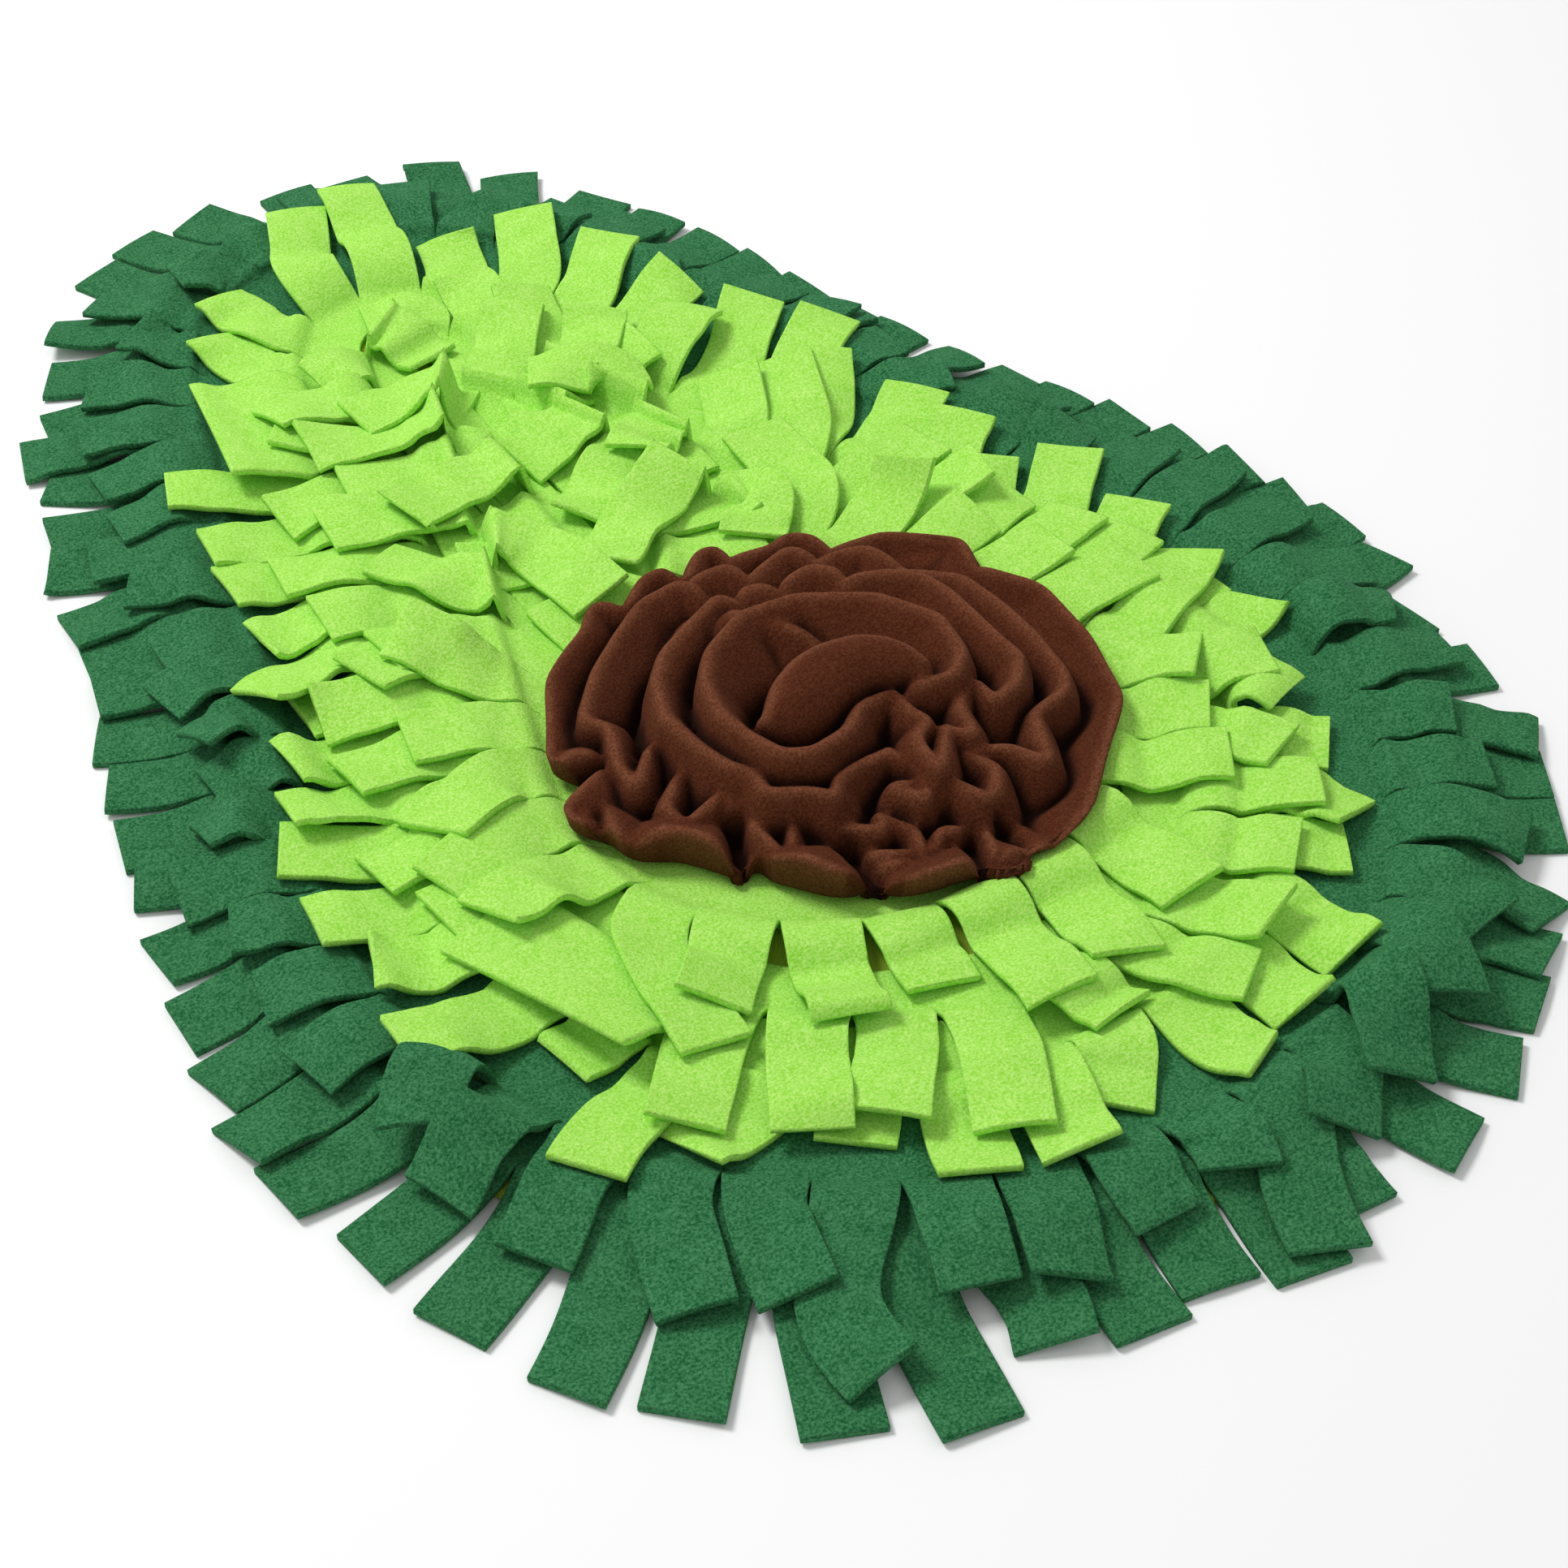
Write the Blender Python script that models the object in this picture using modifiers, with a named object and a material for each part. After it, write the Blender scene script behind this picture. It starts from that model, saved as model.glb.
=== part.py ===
"""Snuffle mat shaped like a halved avocado.

A flat egg-shaped base cloth carries rings of fleece. Each ring is one long band, slit
across most of its depth into strips and sewn down along its uncut edge. The two outer
rings are the dark green skin, the inner ones the light green flesh, and a brown band
wound into a rosette is the stone. The rings are laid from the rim inwards, so every
strip is draped over the height of all that was laid before it.

Metres, +Z up, the neck towards +Y. The origin is under the middle, on the floor.
"""

import collections
import math
import random

import bmesh
import bpy
import numpy as np

# The outline that the outermost strip tips reach: two round ends and their tangents.
WIDE_RADIUS = 0.237
WIDE_Y = -0.109
NECK_RADIUS = 0.145
NECK_Y = 0.201

BASE_INSET = 0.035  # the outer strips hang this far past the base cloth
BASE_THICKNESS = 0.003
BASE_POINTS = 72
FLEECE = 0.0025
GAP = 0.0003  # between layers that touch
CLEAR = 0.0012  # kept under a strip that lies over another ring
SEWN_HEIGHT = BASE_THICKNESS + GAP  # underside of what is sewn to the base cloth
STEEPEST = 0.75  # rise per length of the steepest strip
TIP_WIDTH = 0.0225  # a strip narrows to this, so the slits open towards the tips
BENDS = (0.0, 0.24, 0.48, 0.74, 1.0)  # where a strip can bend, as shares of its length

STONE_CENTRE = (0.004, -0.088)
STONE_RADIUS = 0.098
STONE_FOOT = 0.070  # radius that is sewn to the base cloth
STONE_HEIGHT = 0.043
STONE_RIM_HEIGHT = 0.010  # thickness of the folded band where it overhangs
STONE_TURNS = 4.4
STONE_FURROW = 0.011  # depth between two turns of the band
STONE_AROUND = 56
STONE_ACROSS = 17

SEED = 11
CELL = 0.002  # step of the height map
MAP_HALF_SIZE = (0.27, 0.38)

COLOURS = {
    "base": (0.34, 0.50, 0.03),
    "skin": (0.012, 0.152, 0.052),
    "flesh": (0.33, 0.80, 0.10),
    "stone": (0.092, 0.022, 0.010),
}


def moved_in(inset):
    """Round end's y and radius, neck's y and radius, of the outline moved in by inset."""
    return (WIDE_Y, WIDE_RADIUS - inset, NECK_Y, NECK_RADIUS - inset)


Ring = collections.namedtuple("Ring", "name colour seam band strips length spread swing arch bulge")

# Each ring's seam, the depth of its uncut band, its strip count and length with the
# spread of that length, how far in degrees the strips swing either way from square to
# the seam, how high they arch, and how far they share in the outline's bulges.
RINGS = (
    Ring("dark_fringe_lower", "skin", moved_in(0.048), 0.012, 63, 0.048, 0.002, 2, 0.001, 1.0),
    Ring("dark_fringe_upper", "skin", moved_in(0.065), 0.030, 57, 0.049, 0.004, 6, 0.005, 0.5),
    Ring("light_fringe_1", "flesh", moved_in(0.105), 0.010, 47, 0.050, 0.005, 12, 0.007, 0.2),
    Ring("light_fringe_2", "flesh", (-0.106, 0.108, 0.196, 0.018), 0.010, 41, 0.052, 0.005, 16, 0.009, 0.0),
    Ring("light_fringe_3", "flesh", (-0.091, 0.088, 0.145, 0.013), 0.008, 33, 0.054, 0.005, 15, 0.008, 0.0),
    Ring("neck_fringe", "flesh", (0.030, 0.012, 0.120, 0.008), 0.006, 10, 0.050, 0.005, 18, 0.006, 0.0),
)

# Where the outline bulges past its round ends or falls short: share of the way round
# from the neck's tip, clockwise, and how much longer the strips are there.
BULGES = (
    (0.00, -0.005), (0.05, 0.003), (0.08, -0.004), (0.30, -0.003), (0.34, -0.007),
    (0.42, -0.010), (0.46, -0.003), (0.54, -0.004), (0.56, 0.018), (0.61, 0.017),
    (0.65, 0.006), (0.69, -0.001), (0.74, -0.008), (0.77, 0.004), (0.81, 0.001),
    (0.87, 0.009), (0.93, 0.005), (0.98, -0.006), (1.00, -0.005),
)

Laid = collections.namedtuple("Laid", "ring slit strips_wide length swing arch")

# Strips that lie their own way: the ring, the slit they start at, how many strips' width
# is left uncut in them, their length, their swing in degrees and their arch.
HAND_LAID = (
    Laid("light_fringe_1", 0, 1, 0.060, -4, 0.006),
    Laid("light_fringe_1", 46, 1, 0.062, 20, 0.008),
    Laid("light_fringe_1", 28, 1, 0.056, 8, 0.004),
    Laid("light_fringe_1", 25, 1, 0.058, -8, 0.006),
    Laid("light_fringe_3", 19, 1, 0.056, 3, 0.009),
    Laid("light_fringe_3", 18, 1, 0.054, -2, 0.008),
    Laid("light_fringe_3", 25, 2, 0.054, -6, 0.006),
    Laid("neck_fringe", 3, 1, 0.048, 6, 0.005),
    Laid("neck_fringe", 4, 1, 0.036, -4, 0.003),
    Laid("neck_fringe", 5, 1, 0.036, 4, 0.003),
    Laid("neck_fringe", 6, 1, 0.048, -6, 0.005),
)


def seam_point(seam, share):
    """Place and outward heading at a share of the seam, clockwise from the neck's tip."""
    wide_y, wide, neck_y, neck = seam
    taper = math.asin((wide - neck) / (neck_y - wide_y))
    neck_arc = neck * (math.pi / 2 - taper)
    side = (neck_y - wide_y) * math.cos(taper)
    half = neck_arc + side + wide * (math.pi / 2 + taper)
    run = (share % 1.0) * 2 * half
    mirrored = run > half
    if mirrored:
        run = 2 * half - run
    if run < neck_arc:
        heading = run / neck
        x, y = neck * math.sin(heading), neck_y + neck * math.cos(heading)
    elif run < neck_arc + side:
        heading = math.pi / 2 - taper
        down = run - neck_arc
        x = neck * math.sin(heading) + down * math.sin(taper)
        y = neck_y + neck * math.cos(heading) - down * math.cos(taper)
    else:
        heading = math.pi / 2 - taper + (run - neck_arc - side) / wide
        x, y = wide * math.sin(heading), wide_y + wide * math.cos(heading)
    return (-x, y, -heading) if mirrored else (x, y, heading)


# ---- the height map: how high the mat stands so far at each cell


def blank_map():
    return np.zeros([int(2 * half / CELL) + 1 for half in MAP_HALF_SIZE])


def cells_of(points):
    half = np.array(MAP_HALF_SIZE)
    return np.rint((points[:, :2] + half) / CELL).astype(int).T


def raise_map(heights, points):
    i, j = cells_of(points)
    np.maximum.at(heights, (i, j), points[:, 2])


def height_near(heights, points, reach):
    """The highest cell within reach cells of each point."""
    i, j = cells_of(points)
    steps = range(-reach, reach + 1)
    return np.max([heights[i + a, j + b] for a in steps for b in steps], axis=0)


# ---- strips


def shares_between_bends(first, step_along, across):
    """Samples on a strip, as each sample's share of every bend's left and right corner."""
    rows = []
    last = len(BENDS) - 1
    for k in range(last):
        along = [t for t in np.arange(0, 1.001, step_along) if k > 0 or t >= first]
        for t in along:
            for u in across:
                row = np.zeros((last + 1, 2))
                row[k] = (1 - t) * np.array([1 - u, u])
                row[k + 1] = t * np.array([1 - u, u])
                rows.append(row.ravel())
    return np.array(rows)


FEELERS = shares_between_bends(0.35, 0.2, (0.0, 0.25, 0.5, 0.75, 1.0))
INNER_FEELERS = shares_between_bends(0.5, 0.25, (0.15, 0.5, 0.85))
COVER = shares_between_bends(0.0, 0.11, np.linspace(0, 1, 14))


def strip_plan(left, right, heading, strip, tip_width, slopes):
    """Corners of the strip seen from above, turning smoothly by its swing over its first half."""
    corners = [left, right]
    middle = (left + right) / 2
    for k in range(1, len(BENDS)):
        turned = heading + math.radians(strip.swing) * min(1.0, 2 * BENDS[k])
        forward = np.array([math.sin(turned), math.cos(turned)])
        sideways = np.array([forward[1], -forward[0]])
        step = (BENDS[k] - BENDS[k - 1]) * strip.length * math.cos(slopes[k - 1])
        middle = middle + forward * step
        corners += [middle - sideways * tip_width / 2, middle + sideways * tip_width / 2]
    return np.array(corners)


def above(ground, clearance):
    """Least height over the ground; on the bare floor a strip may touch."""
    return ground + np.where(ground > 0, clearance, 0.0)


def drape(plan, arch, below, beside):
    """Heights of the strip's corners: resting on what is below, arched between root and tip."""
    rise = np.repeat([4 * arch * t * (1 - t) for t in BENDS], 2)
    z = above(height_near(below, plan, 1), CLEAR) + rise
    z[:2] = SEWN_HEIGHT
    feelers = np.vstack([FEELERS, INNER_FEELERS])
    need = np.concatenate(
        [
            above(height_near(below, FEELERS @ plan, 1), CLEAR),
            above(height_near(beside, INNER_FEELERS @ plan, 0), GAP),
        ]
    )
    for _ in range(60):
        short = np.maximum(need - feelers @ z, 0)
        if short.max() <= 1e-6:
            break
        z[2:] += (short[:, None] * feelers).max(axis=0)[2:]
    return z


def lay_strip(ring, strip, below, beside):
    """Corners in space, left and right at each bend. The strip is then part of beside."""
    left, right = (
        np.array(seam_point(ring.seam, slit / ring.strips)[:2])
        for slit in (strip.slit, strip.slit + strip.strips_wide)
    )
    heading = seam_point(ring.seam, (strip.slit + strip.strips_wide / 2) / ring.strips)[2]
    slopes = np.zeros(len(BENDS) - 1)
    for _ in range(3):
        plan = strip_plan(left, right, heading, strip, strip.strips_wide * TIP_WIDTH, slopes)
        z = drape(plan, strip.arch, below, beside)
        climb = np.diff(z.reshape(-1, 2).mean(axis=1)) / (np.diff(BENDS) * strip.length)
        slopes = np.arcsin(np.clip(climb, -STEEPEST, STEEPEST))
    corners = np.column_stack([plan, z])
    thickness = FLEECE / np.cos(np.repeat([*slopes, slopes[-1]], 2))
    raise_map(beside, COVER @ (corners + np.outer(thickness, [0, 0, 1])))
    return corners


# ---- objects


def material(name, colour):
    made = bpy.data.materials.new(name)
    made.use_nodes = True
    shader = made.node_tree.nodes["Principled BSDF"]
    shader.inputs["Base Color"].default_value = (*colour, 1)
    shader.inputs["Roughness"].default_value = 0.95
    shader.inputs["Metallic"].default_value = 0.0
    made.diffuse_color = (*colour, 1)
    return made


def add_object(name, data, colour, collection):
    data.materials.append(material(name, COLOURS[colour]))
    made = bpy.data.objects.new(name, data)
    collection.objects.link(made)
    return made


def cloth_from(name, points, faces, colour, collection):
    """A sheet of fleece whose underside is the given surface."""
    mesh = bpy.data.meshes.new(name)
    mesh.from_pydata([tuple(p) for p in points], [], faces)
    mesh.validate()
    sheet = add_object(name, mesh, colour, collection)
    thick = sheet.modifiers.new("fleece", "SOLIDIFY")
    thick.thickness = FLEECE
    thick.offset = 1.0
    return sheet


def make_base(collection):
    """The flat cloth under everything, cut as one egg-shaped outline."""
    curve = bpy.data.curves.new("base_cloth", "CURVE")
    curve.dimensions = "2D"
    curve.fill_mode = "BOTH"
    curve.extrude = BASE_THICKNESS / 2
    outline = curve.splines.new("POLY")
    outline.points.add(BASE_POINTS - 1)
    seam = moved_in(BASE_INSET)
    for i, point in enumerate(outline.points):
        x, y, _ = seam_point(seam, i / BASE_POINTS)
        point.co = (x, y, 0, 1)
    outline.use_cyclic_u = True
    base = add_object("base_cloth", curve, "base", collection)
    base.location.z = BASE_THICKNESS / 2
    return base


def map_of_base():
    """Height map of the base cloth alone."""
    heights = blank_map()
    wide_y, wide, neck_y, neck = moved_in(BASE_INSET)
    inside = []
    for step in np.arange(0, 1.0001, 0.008):
        reach = wide + (neck - wide) * step
        middle = wide_y + (neck_y - wide_y) * step
        for radius in np.arange(0, reach, CELL * 0.7):
            turn = np.linspace(0, 2 * math.pi, max(8, int(radius / CELL * 9)))
            inside.append(np.column_stack([radius * np.sin(turn), middle + radius * np.cos(turn)]))
    flat = np.vstack(inside)
    raise_map(heights, np.column_stack([flat, np.full(len(flat), BASE_THICKNESS)]))
    return heights


def strips_of(ring, draw):
    """Every strip of the ring, from slit to slit, in the order in which they fall."""
    own_way = {laid.slit: laid for laid in HAND_LAID if laid.ring == ring.name}
    strips = []
    slit = 0
    while slit < ring.strips:
        shares, extras = zip(*BULGES)
        bulge = ring.bulge * np.interp((slit + 0.5) / ring.strips, shares, extras)
        length = ring.length + bulge + draw.uniform(-ring.spread, ring.spread)
        swing = draw.uniform(-ring.swing, ring.swing)
        arch = ring.arch * draw.uniform(0.3, 1.2)
        strip = own_way.get(slit) or Laid(ring.name, slit, 1, length, swing, arch)
        strips.append(strip)
        slit += strip.strips_wide
    return strips


def ring_points(seam, slits, count):
    return [(*seam_point(seam, slit / count)[:2], SEWN_HEIGHT) for slit in slits]


def make_fringe(ring, below, draw, collection):
    """One slit band: the uncut ring and its strips. Returns the height map with it laid."""
    wide_y, wide, neck_y, neck = ring.seam
    inner_seam = (wide_y, wide - ring.band, neck_y, neck - ring.band)
    strips = strips_of(ring, draw)
    slits = [strip.slit for strip in strips]
    points = ring_points(inner_seam, slits, ring.strips) + ring_points(ring.seam, slits, ring.strips)
    count = len(slits)
    faces = [(i, (i + 1) % count, count + (i + 1) % count, count + i) for i in range(count)]
    beside = blank_map()
    for i in draw.sample(range(count), count):
        corners = lay_strip(ring, strips[i], below, beside)
        left, right = count + i, count + (i + 1) % count
        for k in range(2, len(corners), 2):
            points += [corners[k], corners[k + 1]]
            faces.append((left, right, len(points) - 1, len(points) - 2))
            left, right = len(points) - 2, len(points) - 1
    cloth_from(ring.name, points, faces, ring.colour, collection)
    for t in np.linspace(0, 1, 2 * int(ring.band / CELL) + 2):
        between = tuple(a + (b - a) * t for a, b in zip(inner_seam, ring.seam))
        run = np.array(ring_points(between, np.linspace(0, ring.strips, 1400), ring.strips))
        raise_map(beside, run + (0, 0, FLEECE))
    return np.maximum(below, beside)


def stone_top(share, turn):
    """Height of the wound band at a share of the radius, on a spiral of folds."""
    dome = STONE_HEIGHT - (STONE_HEIGHT - 0.030) * share**2
    front = 0.5 - 0.5 * math.sin(turn)
    ruffle = front * share * (0.22 * math.sin(9 * turn) + 0.12 * math.sin(14 * turn + 1.0))
    phase = share * STONE_TURNS + turn / (2 * math.pi) + ruffle
    furrow = abs(math.cos(math.pi * phase)) ** 2
    return dome - STONE_FURROW * furrow * min(1.0, 3 * share)


def make_stone(below, collection):
    """The wound brown band: a low dome ridged by its turns, its rim over the strips."""
    middle = np.array(STONE_CENTRE)
    turns = [2 * math.pi * k / STONE_AROUND for k in range(STONE_AROUND)]

    def spot(radius, turn):
        return middle + radius * np.array([math.cos(turn), math.sin(turn)])

    def seat(turn, nearest, furthest):
        """Height that clears the strips under this part of the rim."""
        feel = [
            spot(radius, turn + off)
            for radius in np.arange(nearest, furthest, CELL)
            for off in np.linspace(-0.12, 0.12, 9)
        ]
        return height_near(below, np.array(feel), 1).max() + CLEAR

    points = [(*middle, SEWN_HEIGHT)]
    rings = []

    def add_ring(radius_of, height_of):
        start = len(points)
        points.extend((*spot(radius_of(a), a), height_of(a)) for a in turns)
        rings.append(start)

    def lobe(turn):
        return STONE_RADIUS + 0.0018 * math.sin(11 * turn) + 0.0014 * math.sin(17 * turn + 2.0)

    def rim_seat(turn):
        return seat(turn, STONE_FOOT - CELL, STONE_RADIUS + 0.005)

    seats = {a: rim_seat(a) for a in turns}
    add_ring(lambda a: STONE_FOOT - 0.001, lambda a: SEWN_HEIGHT)
    add_ring(lambda a: STONE_FOOT + 0.001, lambda a: seats[a])
    add_ring(lambda a: lobe(a) - 0.003, lambda a: seats[a])
    add_ring(lobe, lambda a: seats[a] + STONE_RIM_HEIGHT / 2)
    for k in range(STONE_ACROSS):
        share = 1 - (k + 0.35) / STONE_ACROSS
        add_ring(
            lambda a, share=share: lobe(a) * share,
            lambda a, share=share: max(
                stone_top(share, a), (seats[a] + STONE_RIM_HEIGHT) if share > 0.7 else 0.0
            ),
        )
    points.append((*middle, STONE_HEIGHT - 0.002))

    faces = []
    for k in range(STONE_AROUND):
        n = (k + 1) % STONE_AROUND
        faces.append((0, rings[0] + n, rings[0] + k))
        for inner, outer in zip(rings, rings[1:]):
            faces.append((inner + k, inner + n, outer + n, outer + k))
        faces.append((rings[-1] + k, rings[-1] + n, len(points) - 1))
    mesh = bpy.data.meshes.new("seed_rosette")
    mesh.from_pydata(points, [], faces)
    mesh.validate()
    outward = bmesh.new()
    outward.from_mesh(mesh)
    bmesh.ops.recalc_face_normals(outward, faces=outward.faces)
    outward.to_mesh(mesh)
    outward.free()
    mesh.shade_smooth()
    add_object("seed_rosette", mesh, "stone", collection)


def main():
    for old in list(bpy.data.objects):
        bpy.data.objects.remove(old, do_unlink=True)
    collection = bpy.data.collections.new("snuffle_mat")
    bpy.context.scene.collection.children.link(collection)
    draw = random.Random(SEED)
    make_base(collection)
    laid = map_of_base()
    for ring in RINGS:
        laid = make_fringe(ring, laid, draw, collection)
    make_stone(laid, collection)


main()
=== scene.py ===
import math
import random
from collections import namedtuple

import bpy
import numpy as np
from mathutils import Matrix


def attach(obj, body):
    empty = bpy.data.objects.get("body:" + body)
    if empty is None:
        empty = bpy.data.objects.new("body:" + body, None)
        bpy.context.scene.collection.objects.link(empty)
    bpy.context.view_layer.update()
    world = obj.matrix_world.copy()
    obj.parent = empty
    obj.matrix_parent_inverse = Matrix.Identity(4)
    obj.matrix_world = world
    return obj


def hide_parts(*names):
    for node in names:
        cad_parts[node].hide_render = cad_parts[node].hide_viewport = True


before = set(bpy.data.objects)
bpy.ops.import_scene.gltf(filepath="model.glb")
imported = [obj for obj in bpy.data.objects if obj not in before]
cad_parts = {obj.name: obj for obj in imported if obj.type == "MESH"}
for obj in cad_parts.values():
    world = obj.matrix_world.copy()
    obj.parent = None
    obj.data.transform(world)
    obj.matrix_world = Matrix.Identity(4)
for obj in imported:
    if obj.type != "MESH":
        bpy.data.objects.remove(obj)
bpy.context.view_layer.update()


# ---------------------------------------------------------------- base cloth
# One flat egg-shaped cut of lime yellow cotton drill that everything is sewn to. It lies
# on the floor, stops short of the outer strips' tips and shows only between them.

Egg = namedtuple("Egg", "wide_y wide_radius neck_y neck_radius")
RIM = Egg(-0.109, 0.237, 0.201, 0.145)  # the round ends that the outermost tips reach
BASE_INSET = 0.035
BASE_THICKNESS = 0.003
BASE_POINTS = 160
EDGE_ROUND = 0.0008
BASE_LIME = (0.36, 0.50, 0.03)
TWILL_SLANT = math.radians(40)
TWILL_SCALE = 420


def moved_in(inset):
    """The outline that lies this far inside the tips of the outermost strips."""
    return Egg(RIM.wide_y, RIM.wide_radius - inset, RIM.neck_y, RIM.neck_radius - inset)


def seam_parts(egg):
    """The sides' taper, and the lengths of half the neck's arc, a side and half the wide arc."""
    taper = math.asin((egg.wide_radius - egg.neck_radius) / (egg.neck_y - egg.wide_y))
    neck_arc = egg.neck_radius * (math.pi / 2 - taper)
    side = (egg.neck_y - egg.wide_y) * math.cos(taper)
    return taper, neck_arc, side, egg.wide_radius * (math.pi / 2 + taper)


def seam_point(egg, share):
    """Place and outward heading at a share of the seam, clockwise from the neck's tip."""
    taper, neck_arc, side, wide_arc = seam_parts(egg)
    half = neck_arc + side + wide_arc
    run = (share % 1.0) * 2 * half
    mirrored = run > half
    if mirrored:
        run = 2 * half - run
    if run < neck_arc:
        heading = run / egg.neck_radius
        x = egg.neck_radius * math.sin(heading)
        y = egg.neck_y + egg.neck_radius * math.cos(heading)
    elif run < neck_arc + side:
        heading = math.pi / 2 - taper
        down = run - neck_arc
        x = egg.neck_radius * math.sin(heading) + down * math.sin(taper)
        y = egg.neck_y + egg.neck_radius * math.cos(heading) - down * math.cos(taper)
    else:
        heading = math.pi / 2 - taper + (run - neck_arc - side) / egg.wide_radius
        x = egg.wide_radius * math.sin(heading)
        y = egg.wide_y + egg.wide_radius * math.cos(heading)
    return (-x, y, -heading) if mirrored else (x, y, heading)


def new_piece(name, points, faces, finish):
    mesh = bpy.data.meshes.new(name)
    mesh.from_pydata([tuple(map(float, p)) for p in points], [], faces)
    mesh.validate()
    mesh.materials.append(finish)
    mesh.shade_smooth()
    piece = bpy.data.objects.new(name, mesh)
    bpy.context.scene.collection.objects.link(piece)
    return piece


def put(socket, value):
    """Gives a shader socket its value, or links it where it is given another socket."""
    if isinstance(value, bpy.types.NodeSocket):
        socket.id_data.links.new(value, socket)
    else:
        socket.default_value = value


def set_inputs(node, **inputs):
    """Each input's name has _ in place of a space."""
    for name, value in inputs.items():
        put(node.inputs[name.replace("_", " ")], value)


def add_node(tree, kind, *values, settings=None, **inputs):
    """A new shader node with its settings, and its inputs in their order or by their names."""
    node = tree.nodes.new("ShaderNode" + kind)
    for name, value in (settings or {}).items():
        setattr(node, name, value)
    for socket, value in zip(node.inputs, values):
        put(socket, value)
    set_inputs(node, **inputs)
    return node


def mixed(tree, share, one, other):
    """A colour between one and the other."""
    mix = add_node(tree, "Mix", settings={"data_type": "RGBA"}, Factor=share, A=one, B=other)
    return mix.outputs["Result"]


def new_material(name):
    """A material, its node tree and its shader."""
    made = bpy.data.materials.new(name)
    made.use_nodes = True
    return made, made.node_tree, made.node_tree.nodes["Principled BSDF"]


def make_drill():
    """Plain cotton cloth: a fine diagonal twill in the bump, the colour slightly uneven."""
    made, tree, shader = new_material("lime_drill")
    place = add_node(tree, "TexCoord").outputs["Object"]
    turned = add_node(tree, "Mapping", Vector=place, Rotation=(0, 0, TWILL_SLANT))
    twill = add_node(
        tree, "TexWave", Vector=turned.outputs["Vector"], Scale=TWILL_SCALE, Distortion=1.5,
        Detail_Scale=3,
    )
    uneven = add_node(tree, "TexNoise", Vector=place, Scale=90)
    darker, paler = ((*[c * times for c in BASE_LIME], 1) for times in (0.82, 1.15))
    colour = mixed(tree, uneven.outputs["Fac"], darker, paler)
    bump = add_node(tree, "Bump", Strength=0.4, Distance=0.0003, Height=twill.outputs["Fac"])
    set_inputs(shader, Base_Color=colour, Normal=bump.outputs["Normal"], Roughness=0.9)
    return made


base_rings = (  # how far in and how high each ring of the cut edge lies
    (0.5 * EDGE_ROUND, 0.0), (0.0, EDGE_ROUND),
    (0.0, BASE_THICKNESS - EDGE_ROUND), (EDGE_ROUND, BASE_THICKNESS),
)
base_points = []
for inset, height in base_rings:
    egg = moved_in(BASE_INSET + inset)
    base_points += [(*seam_point(egg, k / BASE_POINTS)[:2], height) for k in range(BASE_POINTS)]
base_faces = []
for ring in range(len(base_rings) - 1):
    here, there = ring * BASE_POINTS, (ring + 1) * BASE_POINTS
    for k in range(BASE_POINTS):
        after = (k + 1) % BASE_POINTS
        base_faces.append((here + k, there + k, there + after, here + after))
base_faces.append(tuple(range(BASE_POINTS)))
base_faces.append(tuple(range(len(base_points) - 1, len(base_points) - BASE_POINTS - 1, -1)))
base = new_piece("base_cloth_sheet", base_points, base_faces, make_drill())
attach(base, "root")
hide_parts("base_cloth")


# ------------------------------------------------------- dark fringe, lower
# The outermost ring: one long band of dark green fleece 66 mm deep, slit across most of
# its depth into strips an inch wide. It is sewn to the base along its uncut edge, and its
# strips lie over the edge of the base with their tips on the floor.

FLEECE = 0.0022
LAYERS_APART = 0.0003
SEWN = BASE_THICKNESS + LAYERS_APART + FLEECE / 2  # middle of a fleece that lies on the base
SKIN_GREEN = (0.0075, 0.098, 0.029)
SKIN_PALE = (0.105, 0.345, 0.152)

# Where the fleece mesh has its stations along a strip and its columns across it. The ones
# close to the edges keep the cut edges crisp once the mesh is smoothed.
ALONG = np.append(np.linspace(0, 0.975, 18), 1.0)
ACROSS = np.array([0, 0.045, 0.27, 0.5, 0.73, 0.955, 1.0])
INNER = slice(1, 6)
# Shares of a strip's length by which it has its full width, crown and bank and lies freely
# on what is below it. Nearer to its root it is held by the seam.
WIDE_BY, CROWNED_BY, BANKED_BY, LIFTED_BY, FREE_BY = 0.35, 0.4, 0.3, 0.15, 0.12
SWING_PACE = 1.6  # a strip has swung sideways once it has run 1 / SWING_PACE of its length
BOW_FROM, SKEW_FROM, CURL_FROM = 0.3, 0.4, 0.55  # the shares at which these begin
CURL_ROUND = 0.8  # below 1, a tip curls sooner
LANDING = 0.011  # radius in which a falling strip comes to lie flat
STEEPEST_CLIMB = math.radians(62)
STEEPEST_FALL = -0.2  # cosine of the steepest pitch at which a strip falls
STEEPEST_FOLLOWED = -0.95  # sine of the steepest pitch at which it follows the ground down
PAST_BUMP = 0.007  # radius in which a strip bends down again past a bump that lifted it
BUMPED = 0.01  # a strip this much steeper than it would be by itself was lifted by a bump
MOST_BANK = 0.35  # radians that a strip rolls sideways on uneven ground
CLEAR = 0.0004
CUT_SHARP = 0.75  # crease that keeps the cut edges from rounding off
NARROWEST = 0.0004  # a band closes to this on the neck's middle line
SHORTEST, LONGEST = 0.030, 0.085
UNEVEN_CUT = 0.014  # how much a strip's width varies along it
CROWNS, SKEWS = (-0.0003, 0.0012), (-0.003, 0.003)  # least and most, in every ring
TRIES, AIMED_TRIES = 6, 12  # rounds in which a strip settles, and comes to its aim
LENGTH_STEP, SWING_STEP = 0.8, 0.9  # the share of its miss that each round takes away
LIFTS = 8  # rounds in which a strip is lifted off cloth that it still cuts into
SETTLED = 1e-5  # a lift too small to matter
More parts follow.
